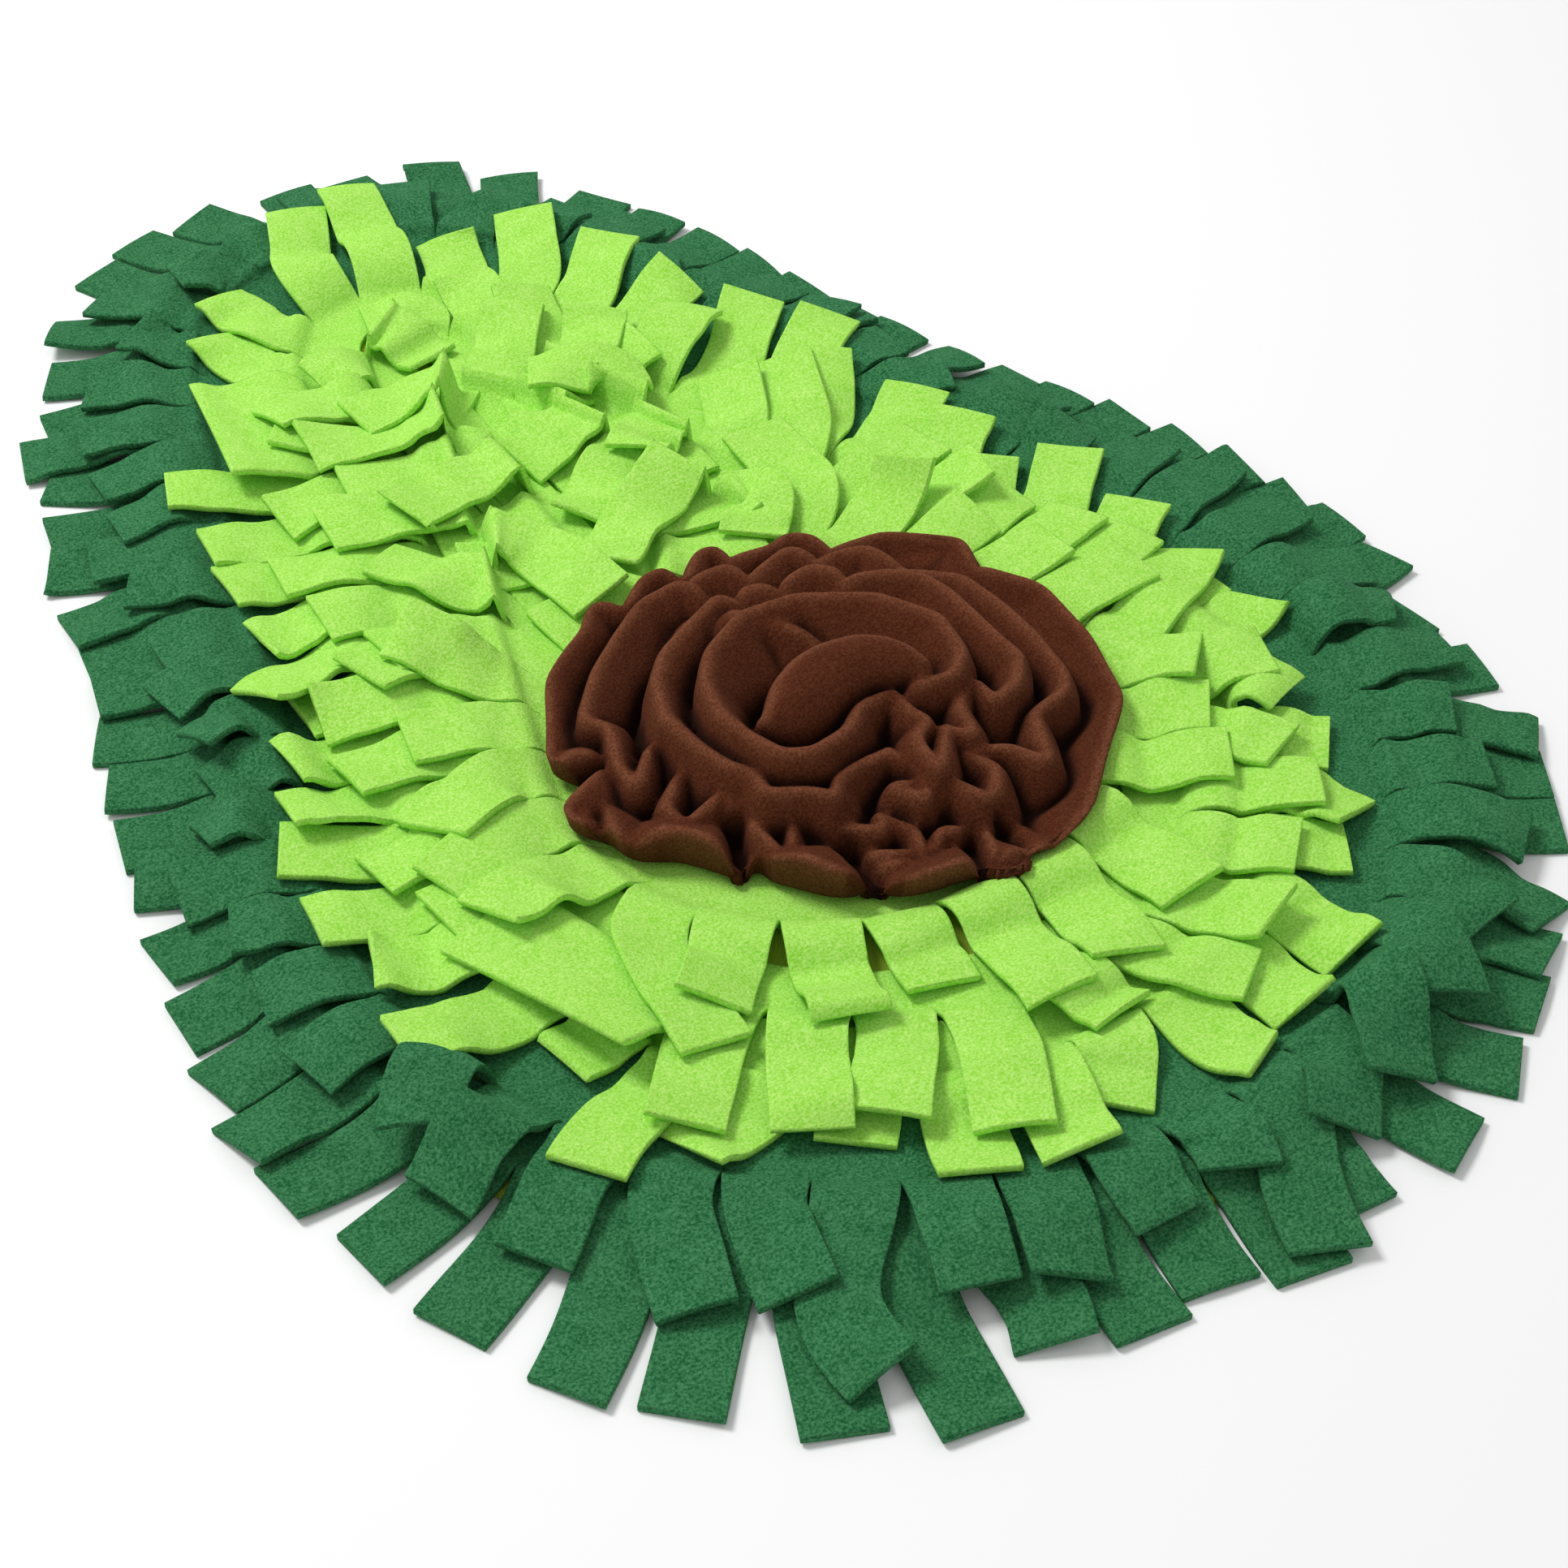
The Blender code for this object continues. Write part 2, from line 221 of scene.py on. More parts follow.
START_LENGTH = 0.055  # of a strip that then comes to its aim
PILE = 0.013  # strips that lie higher than this are pressed halfway down by those above
BRIDGING = 16  # rounds of evening out in which a strip comes to span the dips below it
BAND_ROWS = (1.0, 0.94, 0.5)  # how far in the rows of the uncut band's mesh lie

Strip = namedtuple(
    "Strip", "slit wide length swing bow rise stem droop tip twist crown skew over aim"
)
# slit      the slit that the strip starts at, counted clockwise from the neck's tip
# wide      how many strips' width is left uncut in it
# length    in metres
# swing     degrees it has turned sideways by its middle, clockwise positive
# bow       degrees it turns sideways from its middle to its tip
# rise      degrees at which it leaves its seam; over 90 it falls back over the seam
# stem      metres that it stands straight before it bends
# droop     radius in which it bends over under its own weight
# tip       degrees its end curls up, or under if negative
# twist     degrees its tip is rolled about its length
# crown     how far its middle stands above its edges
# skew      how much longer its right edge is than its left
# over      1 if it lies over the strips beside it, -1 if under them, and 2 or more if it
#           was pulled out on top of everything, the highest number last
# aim       the place of its tip, which then settles its length and swing, or None

Laid = namedtuple(
    "Laid", "slit x y rise droop tip twist over bow wide stem",
    defaults=(None, None, 0, 0, 0, 0, 1, 0),
)
# A listed strip: its slit, and where the middle of its cut end lies, in millimetres
# from the middle of the mat. The rest is as in Strip, with droop and stem in millimetres.

Fringe = namedtuple(
    "Fringe", "egg band strips strip_width length swing bow rise droop tip twist inner sewn",
    defaults=(None, SEWN),
)
# band is how much is left uncut at the wide end. length, swing and the rest are each
# (least, most) for strips that are not listed one by one. inner is how far towards the neck
# the inner edge of the band comes, and sewn is the height of the fleece at its seam.

CELL = 0.0015  # of the maps of how high the cloth lies by now
MAP_HALF = np.array([0.27, 0.375])


def empty_map():
    return np.zeros([int(2 * half / CELL) + 1 for half in MAP_HALF])


def cells_of(places):
    return tuple(np.moveaxis(np.rint((places[..., :2] + MAP_HALF) / CELL).astype(int), -1, 0))


def raise_map(heights, places):
    i, j = cells_of(places)
    np.maximum.at(heights, (i.ravel(), j.ravel()), places[..., 2].ravel())


def spread_map(heights):
    """Each cell takes the highest of itself and its eight neighbours."""
    padded = np.pad(heights, 1)
    rows, columns = heights.shape
    return np.max(
        [padded[a : a + rows, b : b + columns] for a in range(3) for b in range(3)], axis=0
    )


def pressed(heights):
    """The pile once more cloth lies on it."""
    return np.where(heights > PILE, PILE + 0.5 * (heights - PILE), heights)


def smoothstep(values):
    t = np.clip(values, 0.0, 1.0)
    return t * t * (3 - 2 * t)


def even_out(values):
    """Three-point average along the strip that keeps its ends."""
    padded = np.concatenate([values[:1], values, values[-1:]])
    return (padded[:-2] + 2 * padded[1:-1] + padded[2:]) / 4


def grow(values):
    """Each station takes the highest of itself and its two neighbours."""
    padded = np.concatenate([values[:1], values, values[-1:]])
    return np.maximum(np.maximum(padded[:-2], padded[1:-1]), padded[2:])


def bridged(values):
    """The line that a springy strip takes over bumps: it touches the tops and spans the dips."""
    line = grow(values)
    for _ in range(BRIDGING):
        line = np.maximum(even_out(line), values)
    return even_out(line)


def centre_line(root, heading, strip, need):
    """Stations of the strip's middle: x, y, z, pitch and heading.

    It leaves the seam at its rise, bends over in its droop, comes down softly and then
    follows what lies below it, whose heights are in need."""
    x, y = root
    z = need[0]
    way = -1 if strip.rise > 90 else 1
    pitch = math.radians(180 - strip.rise if way < 0 else strip.rise)
    own_pitch = pitch
    stations = [(x, y, z, pitch, heading)]
    level = None
    run = 0.0
    for k, step in enumerate(np.diff(ALONG) * strip.length):
        share = ALONG[k + 1]
        turned = heading + math.radians(strip.swing) * smoothstep(SWING_PACE * share)
        turned += math.radians(strip.bow) * smoothstep((share - BOW_FROM) / (1 - BOW_FROM))
        if strip.tip and share > CURL_FROM:
            level = pitch if level is None else level
            curled = smoothstep((share - CURL_FROM) / (1 - CURL_FROM)) ** CURL_ROUND
            pitch = level + math.radians(strip.tip) * curled
        else:
            above = max(z - need[k + 1], 0.0)
            softest = -math.acos(max(1 - above / LANDING, STEEPEST_FALL))
            run += step
            if run > strip.stem:
                bend = strip.droop if pitch <= own_pitch + BUMPED else PAST_BUMP
                pitch = max(pitch - step / bend, softest)
                own_pitch -= step / strip.droop
            if z + step * math.sin(pitch) < need[k + 1]:
                climb = min((need[k + 1] - z) / step, math.sin(STEEPEST_CLIMB))
                pitch = math.asin(max(climb, STEEPEST_FOLLOWED))
        z += step * math.sin(pitch)
        x += way * step * math.cos(pitch) * math.sin(turned)
        y += way * step * math.cos(pitch) * math.cos(turned)
        stations.append((x, y, z, pitch, turned))
    return np.array(stations)


def bearing_of(offset):
    return math.atan2(offset[0], offset[1])


def within_half_turn(angle):
    """The same bearing, as a turn to the left or right of at most half a circle."""
    return (angle + math.pi) % (2 * math.pi) - math.pi


def aimed(strip, root, line):
    """The strip with its length and swing corrected so that its tip comes to its aim."""
    wanted = np.array(strip.aim) - root
    got = line[-1, :2] - root
    short = np.linalg.norm(wanted) - np.linalg.norm(got)
    astray = within_half_turn(bearing_of(wanted) - bearing_of(got))
    return strip._replace(
        length=min(max(strip.length + LENGTH_STEP * short, SHORTEST), LONGEST),
        swing=strip.swing + SWING_STEP * math.degrees(astray),
    )


def width_along(fringe, strip, root_width, draw):
    """The strip's width at each station, from the slits at its root to its cut end."""
    tip_width = fringe.strip_width + (strip.wide - 1) * root_width
    width = root_width + (tip_width - root_width) * smoothstep(ALONG / WIDE_BY)
    wobble = 1 + UNEVEN_CUT * np.sin(ALONG * draw.uniform(5, 9) + draw.uniform(0, 6))
    return width * np.where(ALONG > 0, wobble, 1)


def surface_on(line, bank, width, crown, skew):
    """The strip's middle surface on its centre line, stations by columns."""
    off = ACROSS - 0.5
    flat = np.cos(bank) * width
    forward = np.column_stack([np.sin(line[:, 4]), np.cos(line[:, 4])])
    sideways = np.column_stack([forward[:, 1], -forward[:, 0]])
    grid = np.zeros((len(ALONG), len(ACROSS), 3))
    grid[..., :2] = line[:, None, :2] + sideways[:, None, :] * (flat[:, None] * off)[..., None]
    reach = np.cos(line[:, 3])[:, None] * skew
    grid[..., :2] += forward[:, None, :] * reach[..., None]
    grid[..., 2] = line[:, 2][:, None] - np.sin(bank)[:, None] * width[:, None] * off + crown
    grid[..., 2] += np.sin(line[:, 3])[:, None] * skew
    return grid


def ground_under(grid, sewn, below, beside):
    """The least height of the middle surface at each point, over the cloth that lies there.

    The strips beside it in its own ring count only away from its root and its edges."""
    i, j = cells_of(grid)
    ground = np.maximum(below[i, j], 0) + FLEECE / 2 + np.where(below[i, j] > 0, CLEAR, 0)
    close = beside[i, j][:, INNER]
    lifted = np.where(close > 0, close + FLEECE / 2 + CLEAR, 0)
    over = sewn + (lifted - sewn) * smoothstep(ALONG / BANKED_BY)[:, None]
    ground[:, INNER] = np.maximum(ground[:, INNER], np.where(close > 0, over, 0))
    return ground


def lay_strip(fringe, strip, below, beside, draw):
    """Grid of the strip's middle surface, stations by columns. It then is part of beside."""
    ends = [strip.slit / fringe.strips, (strip.slit + strip.wide) / fringe.strips]
    left, right = (np.array(seam_point(fringe.egg, end)[:2]) for end in ends)
    heading = seam_point(fringe.egg, sum(ends) / 2)[2]
    root = (left + right) / 2
    width = width_along(fringe, strip, np.linalg.norm(right - left), draw)
    off = ACROSS - 0.5
    crown = strip.crown * np.outer(smoothstep(ALONG / CROWNED_BY), 1 - 4 * off**2)
    skew = np.outer(smoothstep((ALONG - SKEW_FROM) / (1 - SKEW_FROM)), off) * strip.skew
    need = np.full(len(ALONG), fringe.sewn)
    bank = np.zeros(len(ALONG))
    if strip.aim:
        backwards = math.pi if strip.rise > 90 else 0
        astray = within_half_turn(bearing_of(np.array(strip.aim) - root) - heading - backwards)
        strip = strip._replace(swing=math.degrees(astray) - strip.bow / 2)
    for attempt in range(AIMED_TRIES if strip.aim else TRIES):
        line = centre_line(root, heading, strip, need)
        if strip.aim and attempt < AIMED_TRIES - 1:
            strip = aimed(strip, root, line)
        grid = surface_on(line, bank, width, crown, skew)
        ground = ground_under(grid, fringe.sewn, below, beside)
        tilt = (ground[:, 0:3].max(axis=1) - ground[:, 4:7].max(axis=1)) / (0.7 * width)
        tilt = even_out(even_out(np.clip(tilt, -MOST_BANK, MOST_BANK)))
        tilt *= smoothstep(ALONG / BANKED_BY)
        bank = 0.5 * bank + 0.5 * (tilt + math.radians(strip.twist) * ALONG**2)
        wanted = (ground + np.sin(bank)[:, None] * width[:, None] * off - crown).max(axis=1)
        wanted = fringe.sewn + (bridged(wanted) - fringe.sewn) * smoothstep(ALONG / LIFTED_BY)
        need = 0.5 * need + 0.5 * wanted
    freed = smoothstep(ALONG / FREE_BY)
    for _ in range(LIFTS):
        lift = np.maximum((ground - grid[..., 2]).max(axis=1), 0) * freed
        if lift.max() < SETTLED:
            break
        grid[..., 2] += even_out(grow(lift))[:, None] * freed[:, None]
    grid[0, :, :2] = left + np.outer(ACROSS, right - left)
    grid[0, :, 2] = fringe.sewn
    dense = FINE_ALONG @ grid.reshape(len(ALONG), -1)
    dense = np.einsum("cu,kud->kcd", FINE_ACROSS, dense.reshape(len(FINE_ALONG), len(ACROSS), 3))
    slope = FINE_ALONG @ np.clip(np.cos(line[:, 3]), 0.5, 1)
    dense[..., 2] += (FLEECE / 2 / slope)[:, None]
    raise_map(beside, dense)
    return grid


def between(shares, knots):
    """Matrix that reads values at the knots off at the given shares, in straight lines."""
    rows = np.zeros((len(shares), len(knots)))
    for row, share in zip(rows, shares):
        k = min(int(np.searchsorted(knots, share, side="right")) - 1, len(knots) - 2)
        t = (share - knots[k]) / (knots[k + 1] - knots[k])
        row[k], row[k + 1] = 1 - t, t
    return rows


# The finer grid at which a laid strip is marked in the map.
FINE_ALONG = between(np.linspace(0, 1, 56), ALONG)
FINE_ACROSS = between(np.linspace(0.03, 0.97, 19), ACROSS)


def strips_of(fringe, by_hand, draw, longer_by=None):
    """All the ring's strips: those listed, and the rest as they fell."""
    chosen = {}
    for row in by_hand:
        rise = draw.uniform(*fringe.rise) if row.rise is None else row.rise
        droop = draw.uniform(*fringe.droop) if row.droop is None else row.droop / 1000
        chosen[row.slit] = Strip(
            row.slit, row.wide, START_LENGTH, 0, row.bow, rise, row.stem / 1000, droop, row.tip,
            row.twist + draw.uniform(*fringe.twist), draw.uniform(*CROWNS), draw.uniform(*SKEWS),
            row.over, (row.x / 1000, row.y / 1000),
        )
    strips = []
    slit = 0
    while slit < fringe.strips:
        longer = longer_by((slit + 0.5) / fringe.strips) if longer_by else 0.0
        fell = Strip(
            slit, 1, draw.uniform(*fringe.length) + longer, draw.uniform(*fringe.swing),
            draw.uniform(*fringe.bow), draw.uniform(*fringe.rise), 0, draw.uniform(*fringe.droop),
            draw.choice(fringe.tip), draw.uniform(*fringe.twist), draw.uniform(*CROWNS),
            draw.uniform(*SKEWS), 0, None,
        )
        strip = chosen.get(slit, fell)
        strips.append(strip)
        slit += strip.wide
    return strips


def inside(fringe, inward):
    """The outline that lies a share of the band's depth inside the seam."""
    egg = fringe.egg
    narrowed = max(egg.neck_radius - fringe.band, NARROWEST)
    drawn_in = 0 if fringe.inner is None else egg.neck_y - fringe.inner
    return egg._replace(
        wide_radius=egg.wide_radius - fringe.band * inward,
        neck_radius=egg.neck_radius + (narrowed - egg.neck_radius) * inward,
        neck_y=egg.neck_y - drawn_in * inward,
    )


def band_laid(fringe, ground):
    """The ground with the fringe's uncut band sewn down on it."""
    ground = ground.copy()
    shares = np.linspace(0, 1, 1800)
    deepest = max(fringe.band, (fringe.inner is not None) * fringe.egg.neck_y)
    for inward in np.arange(0, 1.001, CELL * 0.7 / deepest):
        egg = inside(fringe, inward)
        top = fringe.sewn + FLEECE / 2
        raise_map(ground, np.array([(*seam_point(egg, share)[:2], top) for share in shares]))
    return ground


def lay_down(fringe, strips, order, ground, draw):
    """Lays strips in this order, and returns their grids and the new ground."""
    below = pressed(spread_map(ground))
    beside = empty_map()
    grids = {k: lay_strip(fringe, strips[k], below, beside, draw) for k in order}
    return grids, np.maximum(ground, beside)


def lay_ring(fringe, by_hand, ground, draw, longer_by=None):
    """The ring's strips, the grids of all but those pulled out on top, and the new ground."""
    strips = strips_of(fringe, by_hand, draw, longer_by)
    order = draw.sample(range(len(strips)), len(strips))
    order = sorted((k for k in order if strips[k].over < 2), key=lambda k: strips[k].over)
    return strips, *lay_down(fringe, strips, order, ground, draw)


def sew(name, fringe, strips, grids, finish):
    """The uncut band with all its strips as one sheet."""
    points, faces = [], []
    slits = [strip.slit + strip.wide * u for strip in strips for u in ACROSS[:-1]]
    count = len(slits)
    for inward in BAND_ROWS:
        egg = inside(fringe, inward)
        points += [(*seam_point(egg, slit / fringe.strips)[:2], fringe.sewn) for slit in slits]
    seam_row = len(points)
    for k in range(len(strips)):
        points += list(grids[k][0, :-1])
    for row in range(len(BAND_ROWS)):
        here, there = row * count, (row + 1) * count
        for c in range(count):
            after = (c + 1) % count
            faces.append((here + c, here + after, there + after, there + c))
    per = len(ACROSS)
    for k in range(len(strips)):
        root = [seam_row + (k * (per - 1) + c) % count for c in range(per)]
        for station in range(1, len(ALONG)):
            start = len(points)
            points += list(grids[k][station])
            row = list(range(start, start + per))
            faces += [(root[c], root[c + 1], row[c + 1], row[c]) for c in range(per - 1)]
            root = row
    piece = new_piece(name, points, faces, finish)
    thick = piece.modifiers.new("fleece", "SOLIDIFY")
    thick.thickness = FLEECE
    thick.offset = 0.0
    thick.use_even_offset = False
    thick.edge_crease_inner = thick.edge_crease_outer = thick.edge_crease_rim = CUT_SHARP
    soft = piece.modifiers.new("soft", "SUBSURF")
    soft.levels = soft.render_levels = 1
    return piece


def make_pile_group():
    """Anti-pill fleece: short fibres felted into nubs about a millimetre across.

    Puts out the colour, paler on the nubs and uneven over a few millimetres, and the
    height of the nubs."""
    group = bpy.data.node_groups.new("fleece_pile", "ShaderNodeTree")
    for name, kind, fallback in (
        ("Deep", "NodeSocketColor", (0, 0, 0, 1)), ("Pale", "NodeSocketColor", (1, 1, 1, 1)),
        ("Nubs per metre", "NodeSocketFloat", 620.0), ("Contrast", "NodeSocketFloat", 1.0),
    ):
        socket = group.interface.new_socket(name, in_out="INPUT", socket_type=kind)
        socket.default_value = fallback
    group.interface.new_socket("Color", in_out="OUTPUT", socket_type="NodeSocketColor")
    group.interface.new_socket("Height", in_out="OUTPUT", socket_type="NodeSocketFloat")
    given = group.nodes.new("NodeGroupInput").outputs
    place = add_node(group, "TexCoord").outputs["Object"]
    nubs = add_node(
        group, "TexNoise", Vector=place, Scale=given["Nubs per metre"], Detail=3.0, Roughness=0.65
    ).outputs["Fac"]
    patches = add_node(group, "TexNoise", Vector=place, Scale=130, Detail=2.0).outputs["Fac"]
    felted = add_node(group, "MapRange", Value=nubs, From_Min=0.36, From_Max=0.66)
    uneven = add_node(group, "Math", patches, 0.45, -0.22, settings={"operation": "MULTIPLY_ADD"})
    both = add_node(
        group, "Math", felted.outputs["Result"], uneven.outputs["Value"],
        settings={"operation": "ADD", "use_clamp": True},
    )
    strength = add_node(
        group, "Math", both.outputs["Value"], given["Contrast"], settings={"operation": "MULTIPLY"}
    )
    colour = mixed(group, strength.outputs["Value"], given["Deep"], given["Pale"])
    set_inputs(group.nodes.new("NodeGroupOutput"), Color=colour, Height=nubs)
    return group


fleece_pile = make_pile_group()


def add_pile(tree, deep, pale, nubs, contrast):
    return add_node(
        tree, "Group", settings={"node_tree": fleece_pile}, Deep=(*deep, 1), Pale=(*pale, 1),
        Nubs_per_metre=nubs, Contrast=contrast,
    )


def make_fleece(name, deep, pale, nubs, contrast, relief, sheen):
    """A fleece of one colour: matt, nubby, with a soft sheen where fibres stand out."""
    made, tree, shader = new_material(name)
    pile = add_pile(tree, deep, pale, nubs, contrast)
    bump = add_node(tree, "Bump", Strength=0.8, Distance=relief, Height=pile.outputs["Height"])
    set_inputs(
        shader, Base_Color=pile.outputs["Color"], Normal=bump.outputs["Normal"], Roughness=1.0,
        Specular_IOR_Level=0.1, Sheen_Weight=sheen, Sheen_Roughness=0.5, Sheen_Tint=(*pale, 1),
    )
    return made


# How far the strips' tips pass the round ends' outline, or fall short of it, at shares
# of the seam, clockwise from the neck's tip.
BULGES = (
    (0.00, -0.005), (0.05, 0.003), (0.08, -0.004), (0.30, -0.003), (0.34, -0.007),
    (0.42, -0.010), (0.46, -0.003), (0.54, -0.004), (0.56, 0.018), (0.61, 0.017),
    (0.65, 0.006), (0.69, -0.001), (0.74, -0.008), (0.77, 0.004), (0.81, 0.001),
    (0.87, 0.009), (0.93, 0.005), (0.98, -0.006), (1.00, -0.005),
)


def bulge(share):
    shares, extras = zip(*BULGES)
    return float(np.interp(share, shares, extras))


def base_laid():
    """The map with only the base cloth on the floor."""
    heights = empty_map()
    egg = moved_in(BASE_INSET)
    shares = np.linspace(0, 1, 1600)
    for inward in np.arange(0, 0.999, 0.008):
        ring = egg._replace(
            wide_radius=egg.wide_radius * (1 - inward), neck_radius=egg.neck_radius * (1 - inward)
        )
        if ring.wide_radius - ring.neck_radius < ring.neck_y - ring.wide_y:
            raise_map(heights, np.array([(*seam_point(ring, s)[:2], BASE_THICKNESS) for s in shares]))
    return heights


ground = base_laid()
skin_fleece = make_fleece("dark_green_fleece", SKIN_GREEN, SKIN_PALE, 1050, 0.62, 0.0006, 0.2)

draw = random.Random(3)
LOWER = Fringe(
    moved_in(0.048), 0.016, 63, 0.0240, length=(0.047, 0.050), swing=(-3, 3), bow=(-3, 3),
    rise=(0, 14), droop=(0.03, 0.05), tip=(0, 0, 0, 5), twist=(-4, 4),
)
LOWER_LAID = (
    Laid(0, 14, 336), Laid(1, 37, 330), Laid(2, 74, 320, 30, 16, tip=-60), Laid(3, 99, 297),
    Laid(4, 124, 260), Laid(5, 136, 234), Laid(6, 146, 206), Laid(7, 152, 180),
    Laid(8, 158, 156, over=1), Laid(9, 163, 126), Laid(10, 172, 110), Laid(11, 179, 78, over=1),
    Laid(12, 189, 56), Laid(13, 199, 38), Laid(14, 210, 15, over=1), Laid(15, 218, -11),
    Laid(16, 223, -38, 30, 20, tip=-75), Laid(17, 228, -62, over=-1), Laid(19, 232, -105, over=-1),
    Laid(20, 217, -136), Laid(21, 218, -171), Laid(22, 205, -211, 20, tip=-30), Laid(24, 183, -246),
    Laid(25, 148, -278), Laid(27, 121, -303, bow=12), Laid(28, 97, -319), Laid(29, 63, -334),
    Laid(30, 21, -336, bow=-18), Laid(31, -5, -346, over=-1), Laid(32, -30, -336),
    Laid(33, -55, -338), Laid(34, -81, -328, bow=40, twist=14), Laid(35, -113, -339),
    Laid(36, -145, -321), Laid(37, -178, -292), Laid(38, -200, -269, bow=10),
    Laid(39, -216, -233), Laid(40, -225, -198), Laid(41, -234, -163), Laid(43, -232, -117),
    Laid(44, -229, -88), Laid(45, -223, -58), Laid(46, -214, -22), Laid(47, -211, -3),
    Laid(48, -203, 25), Laid(49, -196, 50), Laid(50, -188, 68), Laid(51, -183, 88, over=-1),
    Laid(52, -181, 108), Laid(53, -173, 144), Laid(54, -165, 163, over=-1), Laid(55, -151, 196),
    Laid(57, -139, 226), Laid(58, -125, 259), Laid(59, -112, 286, twist=14), Laid(60, -78, 321),
    Laid(61, -56, 334), Laid(62, -28, 338),
)
ground = band_laid(LOWER, ground)
strips, grids, ground = lay_ring(LOWER, LOWER_LAID, ground, draw, bulge)
lower = sew("dark_fringe_lower_cloth", LOWER, strips, grids, skin_fleece)
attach(lower, "root")
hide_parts("dark_fringe_lower")


# ------------------------------------------------------- dark fringe, upper
# A second dark green band, sewn 17 mm further in, with its uncut part left wide and its
# strips draped over the first ring.

draw = random.Random(4)
UPPER = Fringe(
    moved_in(0.065), 0.038, 57, 0.0240, length=(0.047, 0.053), swing=(-9, 9), bow=(-8, 8),
    rise=(24, 52), droop=(0.018, 0.032), tip=(0, 0, 0, 6, -25), twist=(-9, 9),
)
UPPER_LAID = (
    Laid(1, 53, 306), Laid(2, 86, 264), Laid(3, 102, 249, over=1), Laid(5, 112, 185),
    Laid(6, 124, 162), Laid(9, 157, 97), Laid(10, 158, 61, over=1), Laid(11, 168, 40, over=-1),
    Laid(13, 179, 12, over=1), Laid(14, 200, -11, over=1), Laid(15, 211, -35, over=-1),
    Laid(16, 216, -71, over=1), Laid(17, 216, -111, 70, 16),
    Laid(18, 205, -138, 85, 15, over=1, bow=20),
    Laid(20, 185, -190), Laid(21, 177, -217, over=1), Laid(22, 164, -249, over=-1),
    Laid(23, 125, -274, 55, tip=-30), Laid(24, 91, -294, 60, tip=-35), Laid(25, 58, -309, over=1),
    Laid(26, 32, -314, tip=-20), Laid(27, 2, -344, 60, 18, bow=-30, over=-1),
    Laid(28, -4, -311, 45, bow=22, over=1), Laid(29, -31, -313, 62, 18, tip=-45, bow=-20),
    Laid(30, -67, -316, 45, over=1), Laid(31, -90, -305, 45, tip=-15, over=1),
    Laid(32, -128, -314, 55, 18, bow=-60, twist=20, over=-1), Laid(33, -133, -280, 30, over=1),
    Laid(34, -158, -268, 30), Laid(35, -186, -227, 40), Laid(36, -198, -194, 62, 15, over=1),
    Laid(37, -193, -175, 88, 14, tip=-15, stem=3, over=-1, bow=-25), Laid(38, -208, -132, 45),
    Laid(39, -206, -97, over=1), Laid(40, -201, -66, 30, over=-1), Laid(42, -191, -23, over=1),
    Laid(43, -178, -2, 75, 13, over=-1), Laid(44, -175, 16, 70, 13, tip=-40, over=1),
    Laid(45, -173, 46, over=-1), Laid(46, -163, 72, over=1), Laid(47, -155, 112),
    Laid(49, -146, 145, over=1), Laid(50, -140, 175, over=-1), Laid(51, -134, 205, over=1),
    Laid(52, -116, 238, over=-1), Laid(53, -86, 255, over=1), Laid(55, -60, 281, 55),
    Laid(56, -24, 294),
)
ground = band_laid(UPPER, ground)
strips, grids, ground = lay_ring(UPPER, UPPER_LAID, ground, draw, lambda share: 0.5 * bulge(share))
upper = sew("dark_fringe_upper_cloth", UPPER, strips, grids, skin_fleece)
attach(upper, "root")
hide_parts("dark_fringe_upper")


# ------------------------------------------------------------ light fringes
# Three light green bands, each ring laid over the one outside it, and a short one that
# fills the neck. Their strips stand up from their seams and fall over one another.

FLESH_GREEN = (0.275, 0.68, 0.045)
FLESH_PALE = (0.60, 0.96, 0.24)
flesh_fleece = make_fleece("light_green_fleece", FLESH_GREEN, FLESH_PALE, 1100, 0.8, 0.0005, 0.1)

